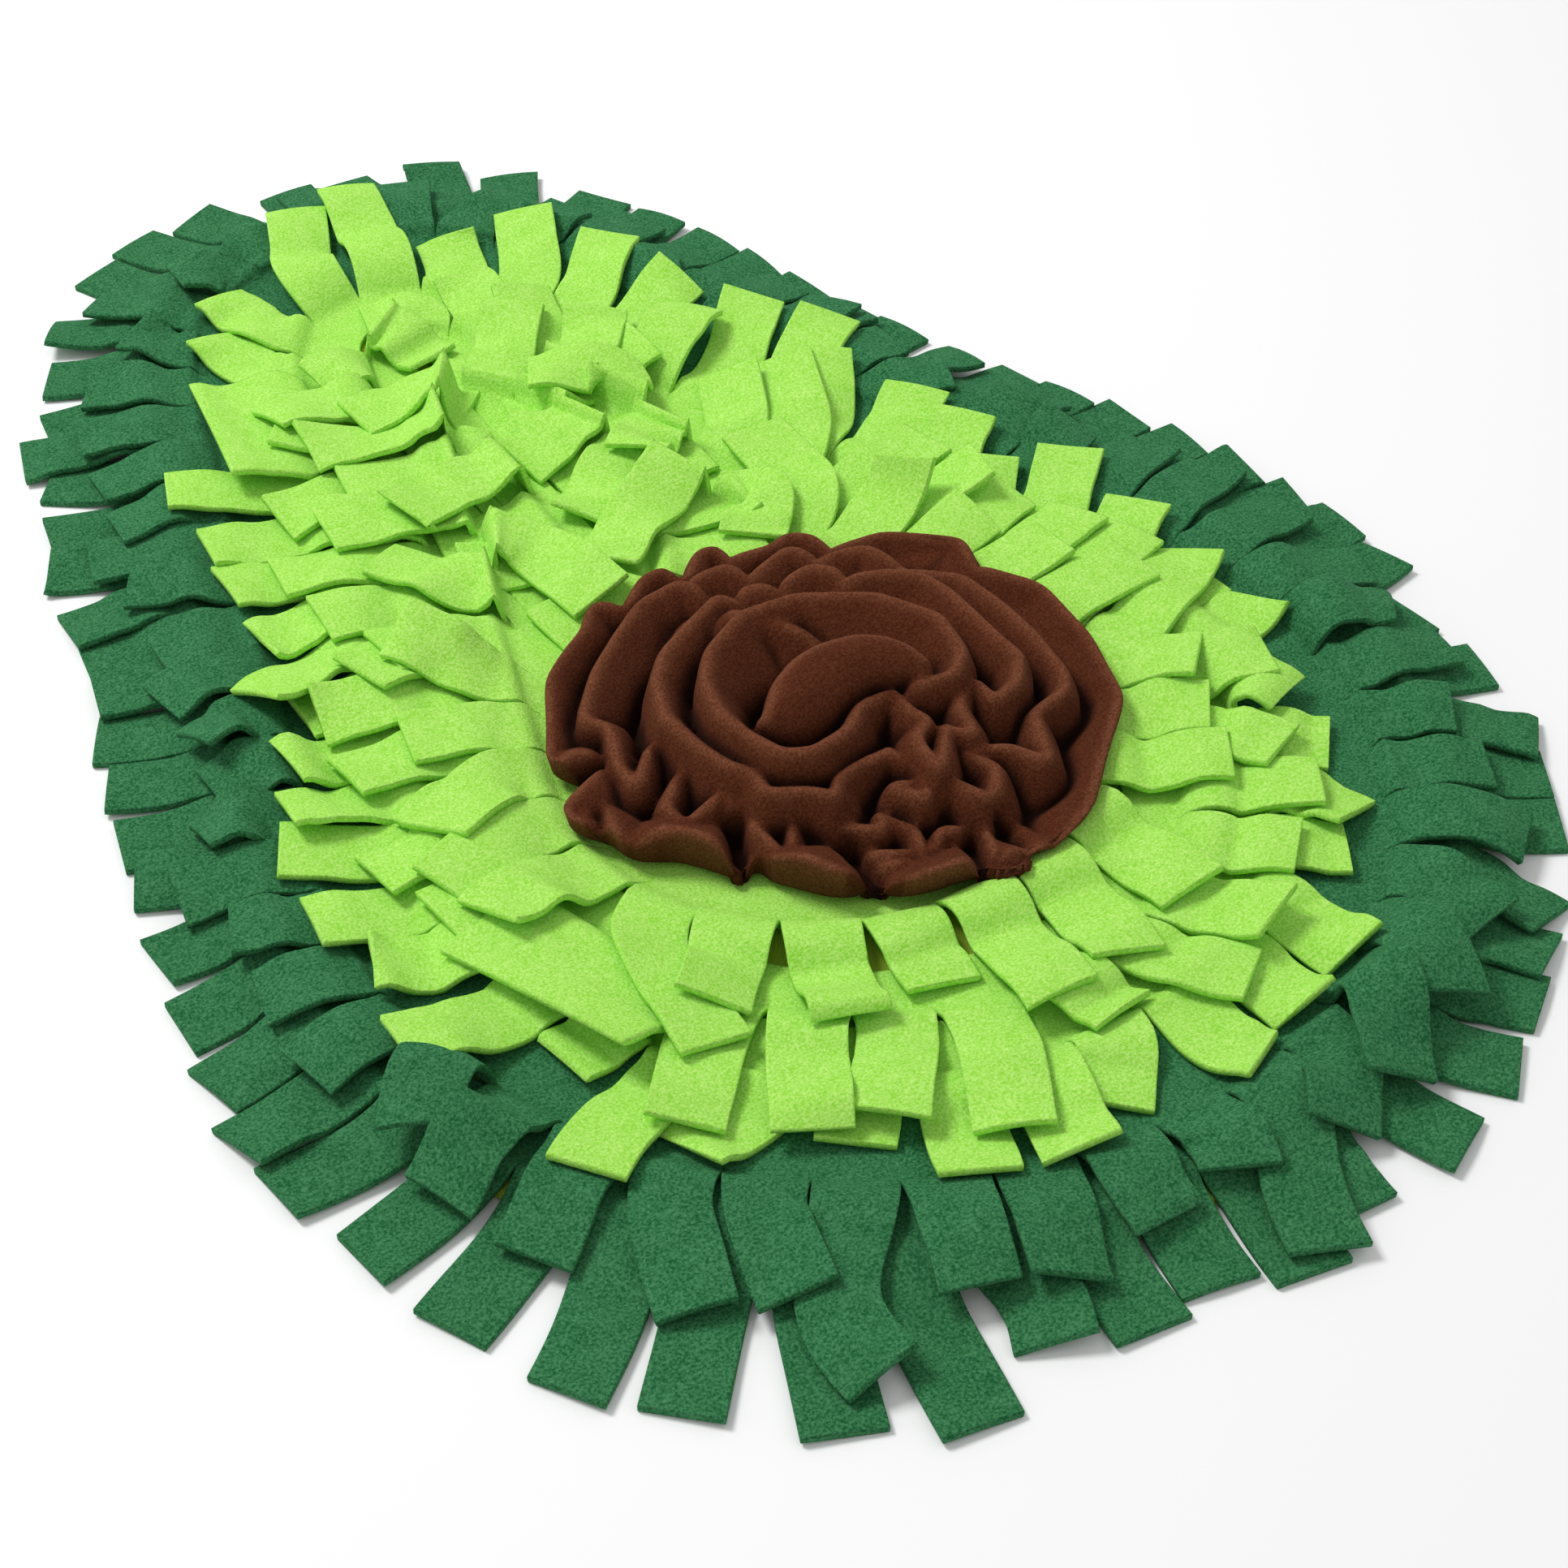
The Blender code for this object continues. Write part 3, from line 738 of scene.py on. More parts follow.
# The strips that lie in a way of their own, ring by ring.
OUTER_LAID = (
    Laid(0, 27, 304, 60, 26, over=1), Laid(46, 2, 299, 60, 26), Laid(1, 47, 256, 38),
    Laid(2, 80, 250, 30), Laid(3, 101, 216, 30), Laid(4, 107, 171, 40, twist=6),
    Laid(5, 99, 147, 70), Laid(6, 123, 143, 35), Laid(7, 142, 118, 35),
    Laid(8, 124, 98, 75, 13, over=1), Laid(9, 141, 57, 65, 13), Laid(10, 146, 33, 40),
    Laid(11, 139, 10, 70, 13), Laid(12, 166, -5, 55, 14), Laid(13, 168, -43, 62, 13),
    Laid(14, 166, -85, 65, 13), Laid(15, 169, -109, 72, 13), Laid(16, 139, -154, 85, twist=12),
    Laid(17, 138, -177, 60, 14), Laid(18, 124, -213, 62, 14), Laid(19, 111, -221, 35, over=-1),
    Laid(20, 80, -262, 65, 13, over=1), Laid(21, 53, -271, 40, over=-1),
    Laid(22, 30, -280, 35, bow=-38), Laid(23, -18, -270, 60, 14, over=-1), Laid(24, -39, -283, 62, 13),
    Laid(25, -67, -273, 65, 13, over=1), Laid(26, -88, -241, 35, over=-1),
    Laid(27, -130, -219, 30, tip=-35, over=-1), Laid(28, -160, -212, 30, bow=-30, over=1),
    Laid(29, -139, -167, 30, 14, tip=-60), Laid(30, -184, -145, 65, 13, twist=-8),
    Laid(31, -172, -105, 75, 13), Laid(32, -180, -80, 65, 13), Laid(33, -174, -45, 35, over=-1),
    Laid(34, -165, -32, 60, 13, tip=-30, over=1), Laid(36, -137, 15, 70, 13),
    Laid(37, -149, 22, 40, twist=25), Laid(38, -132, 55, 70, 13, twist=14),
    Laid(39, -130, 87, 35, over=-1), Laid(40, -126, 111, 65, 13),
    Laid(41, -124, 148, 35), Laid(42, -94, 175, 50, wide=2, over=1), Laid(44, -64, 239, 35, over=-1),
    Laid(45, -50, 263, 55, 15, tip=-25),
)
MIDDLE_LAID = (
    Laid(0, -2, 217, 60, 14), Laid(1, 38, 226, 60), Laid(2, 51, 201, 70, 12),
    Laid(3, 65, 166, 85, 9, tip=-110, over=2), Laid(4, 21, 141, 85, 9, stem=1, over=4),
    Laid(5, 29, 75, 92, 7, stem=4, over=5), Laid(6, 87, 105, 50, 16, over=1), Laid(7, 108, 101, 60, 14),
    Laid(10, 133, -13, 60, 13), Laid(11, 146, -37, 60, 14), Laid(12, 156, -56, 65, 13),
    Laid(13, 167, -75, 70, 13), Laid(14, 147, -139, 70, 14, twist=10, over=1),
    Laid(15, 122, -178, 75, 12), Laid(16, 121, -198, 70, 13), Laid(17, 96, -217, 65, 14),
    Laid(20, 6, -244, 75, 14),
    Laid(21, -50, -266, 35, over=-1), Laid(23, -98, -234, 65, 16, tip=-30, over=1),
    Laid(24, -128, -213, 35, over=1), Laid(25, -142, -149, 35, 16, twist=8, wide=2, over=1),
    Laid(27, -147, -100, 70, 13), Laid(28, -154, -71, 65, 13), Laid(29, -132, -61, 55, 14, over=-1),
    Laid(30, -141, -26, 65, 13), Laid(31, -135, 5, 65, 13), Laid(32, -115, 14, 75, 13, over=1),
    Laid(33, -111, 52, 70, 13), Laid(34, -112, 83, 40), Laid(35, -83, 102, 75, 13),
    Laid(36, -96, 115, 60), Laid(39, -45, 185, 85, 14), Laid(40, 2, 182, 100, 9, over=2),
)
INNER_LAID = (
    Laid(0, 41, 188, 60, 12, tip=-60), Laid(2, -7, 99, 98, 8, over=3),
    Laid(3, -4, 58, 96, 14, over=2), Laid(4, -12, 29, 98, 10, over=3),
    Laid(5, 41, 16, 88, 8, over=4), Laid(6, 74, 68, 40, 45, over=1),
    Laid(7, 102, 9, 30, 16, tip=45, over=1), Laid(8, 113, -21, 58, 15, over=1),
    Laid(9, 126, -49, 60, 14), Laid(10, 143, -73, 55, 14), Laid(11, 126, -129, 58, 20, over=1),
    Laid(12, 115, -149, 50, over=-1), Laid(13, 105, -172, 80, 13, over=1),
    Laid(14, 55, -215, 88, 12, over=1), Laid(15, 21, -227, 80, 13),
    Laid(16, -7, -231, 88, 12, over=1), Laid(17, -30, -203, 70, 13, over=-1),
    Laid(18, -64, -203, 80, 13, tip=-70, over=1), Laid(19, -96, -177, 75, 14, over=1),
    Laid(20, -104, -192, 60, 14, over=-1), Laid(21, -136, -112, 35, twist=20),
    Laid(22, -141, -92, 62, 13, tip=-20), Laid(23, -131, -68, 60, 14), Laid(24, -116, -20, 55, 14),
    Laid(25, -96, 24, 40, 18, twist=-20, over=1), Laid(27, -78, 72, 55, 16, over=1),
    Laid(28, -23, 12, 100, 9, over=3), Laid(29, -87, 96, 35), Laid(30, -69, 117, 30),
    Laid(31, -71, 142, 65, 15, over=2), Laid(32, -47, 151, 75, 14, over=3),
)
NECK_LAID = (
    Laid(0, 24, 151, 60, 12), Laid(8, -58, 86, 85, 12, tip=-110, stem=4, over=6),
    Laid(9, 16, 182, 45, 20, over=1),
)
# The rings in the order they are sewn on: the depth of each band and of its strips
# together, the listed strips, and the fringe.
Ring = namedtuple("Ring", "node depth by_hand fringe")
LIGHT_RINGS = (
    Ring("light_fringe_1", 0.070, OUTER_LAID, Fringe(
        moved_in(0.105), 0.022, 47, 0.0245, length=(0.044, 0.055), swing=(-14, 14), bow=(-8, 8),
        rise=(25, 60), droop=(0.014, 0.03), tip=(0, 0, 8, -25), twist=(-8, 8))),
    Ring("light_fringe_2", 0.068, MIDDLE_LAID, Fringe(
        Egg(-0.106, 0.108, 0.196, 0.018), 0.019, 41, 0.0245, length=(0.046, 0.057), swing=(-18, 18),
        bow=(-10, 10), rise=(25, 65), droop=(0.014, 0.03), tip=(0, 0, 8, -25), twist=(-8, 8))),
    Ring("neck_fringe", 0.055, NECK_LAID, Fringe(
        Egg(0.030, 0.012, 0.120, 0.008), 0.010, 10, 0.0235, length=(0.040, 0.048), swing=(-18, 18),
        bow=(-10, 10), rise=(6, 16), droop=(0.02, 0.03), tip=(0, 0, 8, -10), twist=(-6, 6),
        sewn=SEWN + FLEECE + CLEAR)),
    Ring("light_fringe_3", 0.085, INNER_LAID, Fringe(
        Egg(-0.086, 0.086, 0.145, 0.013), 0.025, 33, 0.0245, length=(0.048, 0.058), swing=(-16, 16),
        bow=(-10, 10), rise=(12, 36), droop=(0.014, 0.03), tip=(0, 0, 8, -25), twist=(-8, 8),
        inner=0.006)),
)
fringes = {ring.node: ring.fringe for ring in LIGHT_RINGS}
draw = random.Random(5)
for fringe in fringes.values():
    ground = band_laid(fringe, ground)
strips_in, grids_in = {}, {}
for node, _, by_hand, fringe in LIGHT_RINGS:
    strips_in[node], grids_in[node], ground = lay_ring(fringe, by_hand, ground, draw)
pulled_out = [
    (strip.over, node, k)
    for node, strips in strips_in.items() for k, strip in enumerate(strips) if strip.over > 1
]
for _, node, k in sorted(pulled_out):
    grids, ground = lay_down(fringes[node], strips_in[node], [k], ground, draw)
    grids_in[node].update(grids)
for node, depth, _, fringe in LIGHT_RINGS:
    cloth = sew(node + "_cloth", fringe, strips_in[node], grids_in[node], flesh_fleece)
    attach(cloth, "root")
    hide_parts(node)


# ------------------------------------------------------------- stone rosette
# One long band of brown fleece, folded lengthwise, gathered along its raw edges and wound
# into a rosette of four turns round a folded bud. It is sewn down along the raw edges; the
# folded edge flares outwards, and falls in tight pleats where the gathers are closest.

STONE_CENTRE = np.array([0.0067, -0.0897])
STONE_FACES = math.radians(-33)  # the way "right" points in the tables below
MM = 0.001

# The folded edge's route from the bud outwards, in millimetres to the right of the
# middle, back from it and up from the floor.
FIRST_TURN = (
    (25, -7, 39), (37, -3, 40), (40, 9, 40), (33, 25, 41), (13, 36, 41), (-13, 37, 40),
    (-31, 28, 40), (-41, 9, 40), (-42, -6, 39), (-37, -20, 38), (-29, -29, 37), (-18, -38, 37),
    (-8, -37, 37), (3, -26, 36), (7, -15, 37), (18, -8, 37), (23, -16, 35), (29, -20, 35),
)
SECOND_TURN = (
    (24, -28, 34), (31, -41, 33), (34, -22, 33), (43, -24, 32), (38, -11, 34), (44, 1, 34),
    (50, -8, 33), (58, 2, 33), (59, 14, 34), (55, 19, 34), (49, 29, 34), (38, 47, 34),
    (28, 57, 34), (17, 58, 34), (4, 55, 34), (3, 52, 31), (1, 59, 34), (-9, 61, 34), (-18, 53, 33),
    (-16, 49, 30), (-24, 51, 34), (-32, 49, 33), (-30, 40, 29), (-33, 43, 33), (-39, 45, 34),
    (-48, 30, 34), (-56, 15, 34), (-58, 2, 33), (-55, -15, 32), (-44, -28, 31), (-35, -37, 31),
    (-26, -41, 31), (-23, -49, 30), (-8, -48, 30), (-1, -50, 29), (-1, -43, 30), (6, -36, 30),
    (16, -30, 30), (25, -36, 29), (28, -49, 27),
)
THIRD_TURN = (
    (19, -45, 27), (16, -43, 27), (34, -41, 28), (48, -48, 26), (50, -34, 27), (38, -28, 28),
    (54, -25, 28), (66, -31, 27), (63, -7, 27), (74, 4, 27), (74, 14, 27), (65, 34, 27),
    (55, 50, 27), (43, 66, 26), (27, 69, 26), (24, 72, 23), (17, 78, 26), (11, 84, 25),
    (1, 81, 25), (-6, 77, 24), (-5, 79, 21), (-10, 83, 24), (-16, 85, 24), (-22, 78, 24),
    (-29, 70, 23), (-29, 69, 20), (-33, 73, 24), (-37, 75, 24), (-44, 71, 24), (-50, 67, 23),
    (-43, 60, 19), (-47, 63, 24), (-53, 66, 24), (-66, 54, 24), (-73, 36, 24), (-79, 18, 24),
    (-82, -1, 23), (-82, -7, 23), (-74, -9, 23), (-70, -28, 22), (-64, -38, 22), (-60, -19, 23),
    (-53, -17, 23), (-50, -30, 22), (-55, -47, 21), (-48, -55, 21), (-36, -42, 24), (-31, -51, 22),
    (-18, -67, 20), (-15, -69, 20), (-15, -51, 22), (-8, -49, 23), (-1, -56, 21), (15, -56, 20),
    (11, -50, 21), (24, -56, 20), (27, -70, 18), (11, -70, 18), (-3, -65, 18), (30, -65, 18),
    (31, -56, 20), (46, -55, 19), (48, -65, 18), (39, -75, 17), (48, -74, 16), (57, -73, 14),
    (53, -54, 18), (63, -64, 15),
)
RIM_TURN = (
    (67, -62, 17), (79, -48, 21), (94, 10, 20), (85, 43, 20), (71, 70, 20), (50, 80, 20),
    (49, 80, 17), (48, 83, 20), (45, 96, 20), (35, 99, 19), (18, 101, 19), (9, 97, 19),
    (-1, 91, 19), (0, 92, 16), (-7, 99, 19), (-16, 101, 19), (-22, 93, 19), (-35, 87, 19),
    (-36, 87, 16), (-42, 94, 19), (-48, 90, 19), (-51, 74, 19), (-53, 76, 16), (-60, 81, 19),
    (-67, 75, 19), (-71, 59, 19), (-71, 58, 16), (-77, 61, 19), (-84, 60, 19), (-85, 47, 19),
    (-91, 35, 19), (-96, 21, 19), (-93, -26, 19), (-83, -20, 21), (-74, -20, 15), (-79, -34, 21),
    (-88, -46, 19), (-82, -54, 19), (-76, -36, 15), (-71, -56, 20), (-66, -62, 15), (-61, -60, 19),
    (-55, -58, 22), (-48, -61, 23), (-41, -64, 23), (-35, -68, 20), (-30, -69, 13), (-26, -67, 15),
    (-19, -71, 21), (-10, -74, 24), (0, -79, 22), (7, -78, 15), (14, -78, 15), (21, -80, 20),
    (30, -79, 23), (39, -74, 23), (44, -69, 16), (48, -67, 16), (53, -66, 20), (58, -65, 21),
    (63, -63, 19),
)
# Where the last turn is pinched in front, from the inside out, and how deep.
RIM_PINCHES = (
    ((-33, -54, 10), (-32, -64, 10), (-30, -76, 10)),
    ((3, -62, 10), (10, -72, 10), (11, -83, 10)),
    ((42, -58, 8), (44, -67, 7), (46, -76, 6)),
    ((50, -50, 6), (55, -57, 5), (59, -64, 3)),
)
PINCH_WIDE = 0.0034
PINCH_IN = 0.4  # how far the rim is drawn in there, as a share of the depth
PINCH_SPAN = 0.05  # and over which angle to each side, in radians
# A pleat that the first turn has on its inside, left of the bud.
INNER_PLEAT = (
    (-33, 30, 38), (-22, 27, 37), (-14, 25, 36), (-8, 22, 33),
)
# The bud is a plump fold. Its upper edge runs from the left, round the back, to the right,
# and its lower edge comes back along the front.
BUD_UPPER = (
    (-24, -24.5, 34), (-22, -18.5, 37), (-19.5, -8.5, 40), (-13, -0.5, 43), (-5.5, 4.5, 45),
    (6, 8.5, 45.5), (15, 7.5, 45), (22.5, 4.5, 43.5), (27.5, 0, 41),
)
BUD_LOWER = (
    (25, -4.5, 35), (17.5, -7.5, 34), (12, -9.5, 33), (5.5, -14.5, 33), (-1, -19.5, 33),
    (-6.5, -23.5, 33), (-13.5, -27, 33), (-20.5, -28.5, 33), (-24, -24.5, 34),
)
ROUTE_STEP = 0.0015
STONE_CELL = 0.0009
STONE_HALF = 0.112  # the relief is worked out on a square this far to each side
STONE_GRID = 214  # faces along a side of the band's mesh
FOLD_ROUND = 0.0026  # radius of the band's folded edge
# How steeply the cloth falls away inside and outside a folded edge: at the back, where
# the turns have flopped outwards in front, and on the pleat and the bud.
BEHIND, IN_FRONT, RIM_IN_FRONT = (0.95, 3.0), (2.1, 1.5), (0.6, 2.5)
PLEAT_SIDES, BUD_SIDES = (1.1, 1.1), (3.0, 3.0)
FLOPS_TOWARDS = math.radians(12)  # how far the flopped side is turned from the front
FLOP_SPREAD = 0.9
BUD_RIBS, RIB_POINTS = 16, 40
BUD_BULGE = 0.0040
BUD_FALL, BUD_ROUND = 1.6, 0.8  # powers that shape the bud's fall to the front and its bulge
EDGE_LIT = 0.0026  # a painted highlight lies this close to a folded edge
EDGE_STANDS = 0.0012  # and where the edge stands this far above what is round it
SHADE_FROM, SHADE_FULL = 0.0002, 0.0030  # how deep a crease is where its painted shade starts, is full
HOLLOWED = 1.6  # how much deeper the creases are than the round folds alone would leave them
CREASE_FROM = 0.0003  # a valley shallower than this is left as it is
LEAN = 0.2  # how far the folds lean outwards for each millimetre they stand up
MOST_LEAN = (-0.007, 0.006)
LEAN_FULL, LEAN_ENDS, LEAN_FADE = 0.2, 0.85, 0.1  # shares of the way out
UNDER_RIM = 0.022  # strips that lie higher than this are pushed down by the rim
TURNED_DOWN = 0.965  # the share of the way out at which the rim turns down
RIM_TUCK = 0.0015  # and how far it is tucked in there
# share of painted shade where the rim turns down
RIM_SHADE = 0.5
DRAWN_OUT = 1.03  # so that the outline is reached just before the grid's last row
PILE_REACH, CREASE_REACH, SHADE_REACH, FOLD_REACH = 0.0006, 0.0035, 0.004, 0.010


def along(points, smooth):
    """A line through given points, at even steps, with its kinks softened."""
    known = np.array(points, float) * MM
    run = np.concatenate([[0], np.cumsum(np.linalg.norm(np.diff(known, axis=0), axis=1))])
    at = np.linspace(0, run[-1], max(int(run[-1] / ROUTE_STEP), 2))
    line = np.column_stack([np.interp(at, run, known[:, k]) for k in range(3)])
    for _ in range(smooth):
        line[1:-1] = (line[:-2] + 2 * line[1:-1] + line[2:]) / 4
    return line


def drape_from(heights, near, places, line, slopes):
    """Raises the relief to the cloth that falls away from a folded edge on both sides."""
    way = np.gradient(line[:, :2], axis=0)
    way /= np.linalg.norm(way, axis=1)[:, None] + 1e-9
    for spot, heading, (inside, outside) in zip(line, way, slopes):
        off = places - spot[:2]
        distance = np.sqrt(off[:, 0] ** 2 + off[:, 1] ** 2)
        slope = np.where(heading[0] * off[:, 1] - heading[1] * off[:, 0] > 0, inside, outside)
        cloth = spot[2] - slope * (np.sqrt(distance**2 + FOLD_ROUND**2) - FOLD_ROUND)
        higher = cloth > heights
        heights[higher] = cloth[higher]
        near[higher] = distance[higher]


def blurred(heights, reach):
    """The relief evened out over reach, both ways."""
    half = max(1, int(round(2 * reach / STONE_CELL)))
    window = np.exp(-0.5 * (np.arange(-half, half + 1) * STONE_CELL / reach) ** 2)
    window /= window.sum()
    for axis in (0, 1):
        padded = np.pad(heights, [(half, half) if k == axis else (0, 0) for k in (0, 1)], "edge")
        heights = np.apply_along_axis(lambda v: np.convolve(v, window, "valid"), axis, padded)
    return heights


def read_off(heights, places, half, cell):
    """Heights at places in between the cells."""
    at = (places + half) / cell
    low = np.clip(np.floor(at).astype(int), 0, np.array(heights.shape) - 2)
    u, v = (at - low).T
    i, j = low.T
    return ((heights[i, j] * (1 - u) + heights[i + 1, j] * u) * (1 - v)
            + (heights[i, j + 1] * (1 - u) + heights[i + 1, j + 1] * u) * v)


def evenly(line, count):
    """The line read off again at an even number of places."""
    known, wanted = np.linspace(0, 1, len(line)), np.linspace(0, 1, count)
    return np.column_stack([np.interp(wanted, known, line[:, k]) for k in range(3)])


def stone_relief(turns):
    """Heights of the folded cloth on the square, and how near each cell is to a folded edge."""
    across = np.arange(-STONE_HALF, STONE_HALF + STONE_CELL / 2, STONE_CELL)
    places = np.stack(np.meshgrid(across, across, indexing="ij"), axis=-1).reshape(-1, 2)
    relief = np.zeros(len(places))
    near_edge = np.full(len(places), 1.0)
    for turn in turns:
        line = along(turn, 5)
        bearing = np.arctan2(line[:, 1], line[:, 0])
        flopped = smoothstep(0.5 - FLOP_SPREAD * np.sin(bearing - FLOPS_TOWARDS))[:, None]
        in_front = np.array(RIM_IN_FRONT if turn is turns[-1] else IN_FRONT)
        drape_from(relief, near_edge, places, line, BEHIND + (in_front - BEHIND) * flopped)
    line = along(INNER_PLEAT, 3)
    drape_from(relief, near_edge, places, line, [PLEAT_SIDES] * len(line))
    back_edge = evenly(along(BUD_UPPER, 3), RIB_POINTS)
    front_edge = evenly(along(BUD_LOWER, 3)[::-1], RIB_POINTS)
    for share in np.linspace(0, 1, BUD_RIBS):
        rib = back_edge + (front_edge - back_edge) * share
        rib[:, 2] = back_edge[:, 2] + (front_edge[:, 2] - back_edge[:, 2]) * share**BUD_FALL
        rib[:, 2] += BUD_BULGE * math.sin(math.pi * share) ** BUD_ROUND
        near = near_edge if share == 0 else np.full(len(places), 1.0)
        drape_from(relief, near, places, rib, [BUD_SIDES] * len(rib))
    for pinch in RIM_PINCHES:
        depth = np.zeros(len(places))
        for spot in along(pinch, 3):
            off = np.hypot(*(places - spot[:2]).T)
            depth = np.maximum(depth, spot[2] * np.exp(-((off / PINCH_WIDE) ** 2)))
        relief -= depth
    return relief.reshape(len(across), -1), near_edge.reshape(len(across), -1)


def stone_outline(turns, spokes):
    """How far out the last folded edge comes at each bearing, drawn in at the pinches."""
    whole = np.vstack([along(turn, 3) for turn in turns])
    bearing = np.arctan2(whole[:, 1], whole[:, 0])
    radius = np.linalg.norm(whole[:, :2], axis=1)
    outline = np.array([
        radius[np.abs(within_half_turn(bearing - spoke)) < 0.03].max() for spoke in spokes
    ]) + 0.3 * FOLD_ROUND
    for _ in range(9):
        ends = np.concatenate([outline[-2:-1], outline, outline[1:2]])
        outline = (ends[:-2] + 2 * ends[1:-1] + ends[2:]) / 4
    for pinch in RIM_PINCHES:
        off_pinch = spokes - math.atan2(pinch[-1][1], pinch[-1][0])
        outline -= PINCH_IN * pinch[-1][2] * MM * np.exp(-((off_pinch / PINCH_SPAN) ** 2))
    return outline


turns = [
    FIRST_TURN + SECOND_TURN[:3], FIRST_TURN[-3:] + SECOND_TURN + THIRD_TURN[:3],
    SECOND_TURN[-3:] + THIRD_TURN + RIM_TURN[:2], THIRD_TURN[-3:] + RIM_TURN,
]
relief, near_edge = stone_relief(turns)
spokes = np.linspace(-math.pi, math.pi, 361)
outline = stone_outline(turns, spokes)

# A square grid that is drawn out to the rosette's outline, with the rim turned down.
square = np.linspace(-1, 1, STONE_GRID + 1)
u, v = (part.ravel() for part in np.meshgrid(square, square, indexing="ij"))
from_middle = np.maximum(np.abs(u), np.abs(v))
wide = np.abs(u) >= np.abs(v)
ratio = np.where(wide, v, u) / np.maximum(np.where(wide, np.abs(u), np.abs(v)), 1e-9)
turned = np.where(wide, ratio * np.where(u < 0, -1, 1), -ratio * np.where(v < 0, -1, 1))
facing = np.where(wide, np.where(u < 0, math.pi, 0), np.where(v < 0, -math.pi / 2, math.pi / 2))
spoke = within_half_turn(turned * math.pi / 4 + facing)
way_out = np.column_stack([np.cos(spoke), np.sin(spoke)])
reach = np.interp(spoke, spokes, outline)
local = way_out * (np.minimum(from_middle * DRAWN_OUT, 1) * reach)[:, None]

# The relief with its creases deepened, and where the cloth gets painted shade in its creases or a
# painted highlight along a folded edge.
smooth = blurred(relief, PILE_REACH)
valley = blurred(smooth, CREASE_REACH) - smooth
fine = smooth - HOLLOWED * np.maximum(valley - CREASE_FROM, 0)
in_shade = smoothstep((blurred(fine, SHADE_REACH) - fine - SHADE_FROM) / SHADE_FULL)
on_edge = np.exp(-((near_edge / EDGE_LIT) ** 2)) * smoothstep(-valley / EDGE_STANDS)
height, crease_shade, lit, mean = (
    read_off(part, local, STONE_HALF, STONE_CELL)
    for part in (fine, in_shade, on_edge, blurred(relief, FOLD_REACH))
)
rim = smoothstep((from_middle - TURNED_DOWN) / (1 - TURNED_DOWN))
leaning = LEAN * np.clip(height - mean, *MOST_LEAN) * smoothstep(from_middle / LEAN_FULL)
leaning *= 1 - smoothstep((from_middle - LEAN_ENDS) / LEAN_FADE)
local = local + leaning[:, None] * way_out
local -= (RIM_TUCK * rim)[:, None] * way_out
cosine, sine = math.cos(STONE_FACES), math.sin(STONE_FACES)
on_mat = STONE_CENTRE + local @ np.array([[cosine, sine], [-sine, cosine]])
under_rim = blurred(np.minimum(spread_map(ground), UNDER_RIM), 0.005)
floor_below = read_off(under_rim, on_mat, MAP_HALF, CELL) + FLEECE + CLEAR
height = floor_below + np.maximum(height - floor_below, 0) * (1 - rim)
row_step = STONE_GRID + 1
corners = [row * row_step + k for row in range(STONE_GRID) for k in range(STONE_GRID)]
rosette_faces = [(c, c + row_step, c + row_step + 1, c + 1) for c in corners]

STONE_BROWN = (0.059, 0.0125, 0.004)
STONE_PALE = (0.140, 0.042, 0.018)
# paler pile of the painted highlight along the folded edges
HIGHLIGHT_BROWN = (0.105, 0.030, 0.012)
HIGHLIGHT_PALE = (0.235, 0.088, 0.044)
# painted shade: the colour that the creases are darkened towards
CREASE_SHADE_BROWN = (0.008, 0.002, 0.001)


def make_stone_fleece():
    """Brown fleece with a painted highlight on its folded edges and painted shade down in its creases.
    """
    made = make_fleece("brown_fleece", STONE_BROWN, STONE_PALE, 1100, 0.7, 0.0006, 0.3)
    tree = made.node_tree
    colour = tree.nodes["Principled BSDF"].inputs["Base Color"]
    # the mark of painted shade (red) and painted highlight (green), kept on the band's points
    marked = add_node(tree, "VertexColor", settings={"layer_name": "fold_shade_and_highlight"}).outputs["Color"]
    marks = add_node(tree, "SeparateColor", Color=marked).outputs
    # painted highlight: a paler pile where the green of the mark is high
    painted_highlight = add_pile(tree, HIGHLIGHT_BROWN, HIGHLIGHT_PALE, 1100, 0.8).outputs["Color"]
    highlighted = mixed(tree, marks["Green"], colour.links[0].from_socket, painted_highlight)
    # painted shade: the red of the mark darkens the colour in the creases and on the rim
    put(colour, mixed(tree, marks["Red"], highlighted, (*CREASE_SHADE_BROWN, 1)))
    return made


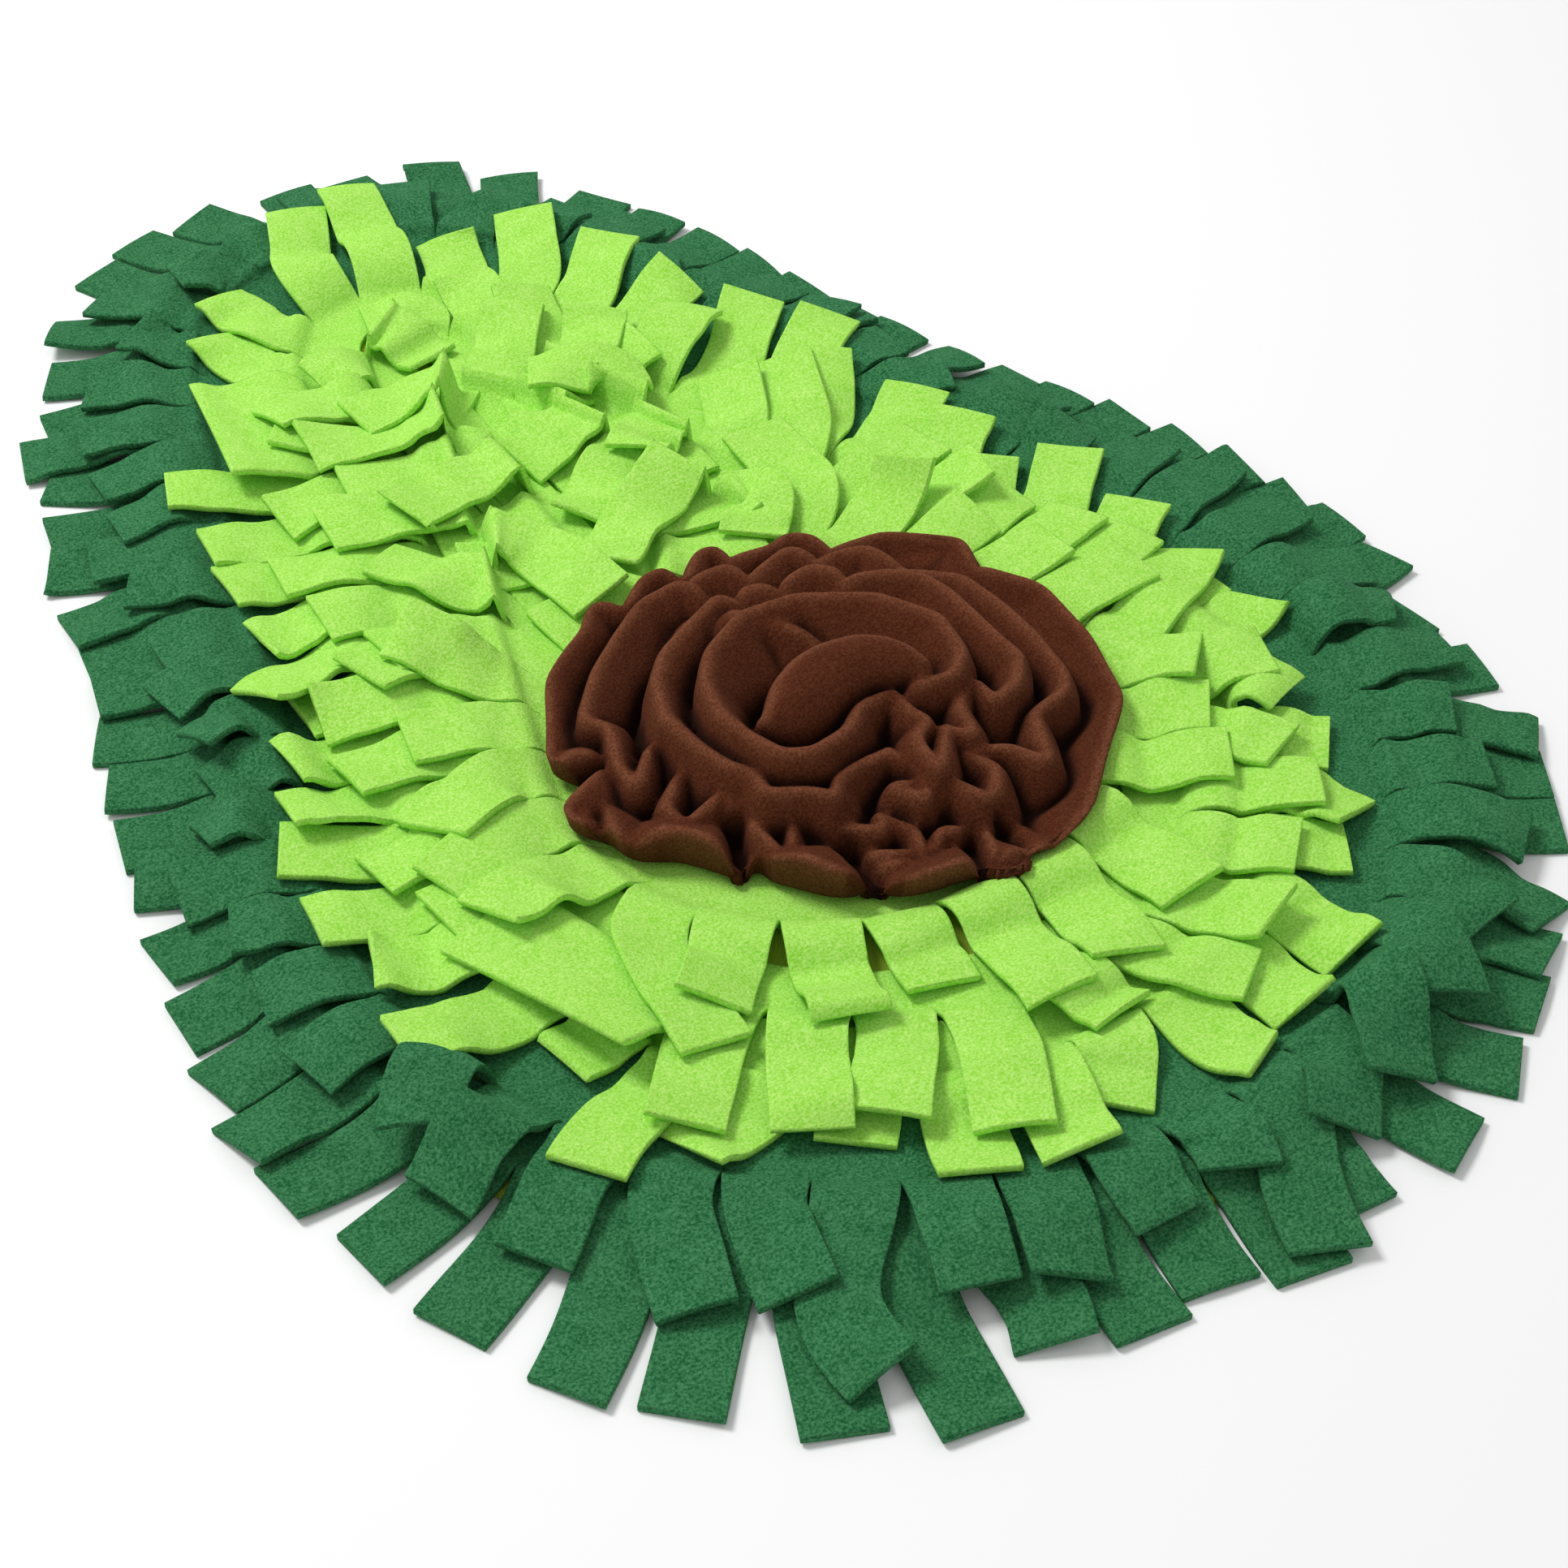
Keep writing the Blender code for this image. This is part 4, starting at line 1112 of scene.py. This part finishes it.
rosette_points = np.column_stack([on_mat, height])
rosette = new_piece("seed_rosette_band", rosette_points, rosette_faces, make_stone_fleece())
folded = rosette.modifiers.new("folded band", "SOLIDIFY")
folded.thickness = FLEECE
folded.offset = -1.0
fold_shade_and_highlight = rosette.data.color_attributes.new("fold_shade_and_highlight", "FLOAT_COLOR", "POINT")
# red of the mark is painted shade in the creases and on the turned-down rim, green is painted highlight
# on the folded edges
shade = np.clip(crease_shade + RIM_SHADE * rim, 0, 1)
fold_shade_and_highlight.data.foreach_set("color", np.column_stack([shade, lit, 0 * lit, 0 * lit + 1]).ravel())
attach(rosette, "root")
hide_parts("seed_rosette")


# ---------------------------------------------------- floor, light and camera
# A plain white floor just under the mat, an even white sky, and one large soft lamp above
# and past the neck end. The camera looks down the mat from past its wide end.

floor_mesh = bpy.data.meshes.new("floor")
floor_mesh.from_pydata([(-6, -6, 0), (6, -6, 0), (6, 6, 0), (-6, 6, 0)], [], [(0, 1, 2, 3)])
white, _, white_shader = new_material("white_floor")
set_inputs(
    white_shader, Base_Color=(0.98, 0.98, 0.98, 1), Roughness=1.0, Specular_IOR_Level=0.0
)
floor_mesh.materials.append(white)
floor = bpy.data.objects.new("floor", floor_mesh)
floor.location.z = -0.0002
bpy.context.scene.collection.objects.link(floor)

world = bpy.data.worlds.new("studio")
bpy.context.scene.world = world
world.use_nodes = True
set_inputs(world.node_tree.nodes["Background"], Color=(1, 1, 1, 1), Strength=0.55)


def set_up(name, data, place, target_name, target_place):
    """A lamp or camera at its place, turned to its target."""
    made = bpy.data.objects.new(name, data)
    made.location = place
    target = bpy.data.objects.new(target_name, None)
    target.location = target_place
    for each in (made, target):
        bpy.context.scene.collection.objects.link(each)
    facing = made.constraints.new("TRACK_TO")
    facing.target = target
    facing.track_axis = "TRACK_NEGATIVE_Z"
    facing.up_axis = "UP_Y"
    return made


softbox = bpy.data.lights.new("key", "AREA")
softbox.shape = "DISK"
softbox.size = 0.8
softbox.energy = 32
set_up("key", softbox, (-0.7, 1.0, 1.9), "key_aim", (0, 0, 0))

lens = bpy.data.cameras.new("camera")
lens.lens = 71.7
lens.sensor_width = 36
bpy.context.scene.camera = set_up(
    "camera", lens, (-0.4359, -0.7391, 0.6718), "look_at", (-0.015, -0.091, 0)
)
bpy.context.scene.view_settings.view_transform = "Standard"
bpy.context.scene.view_settings.look = "None"
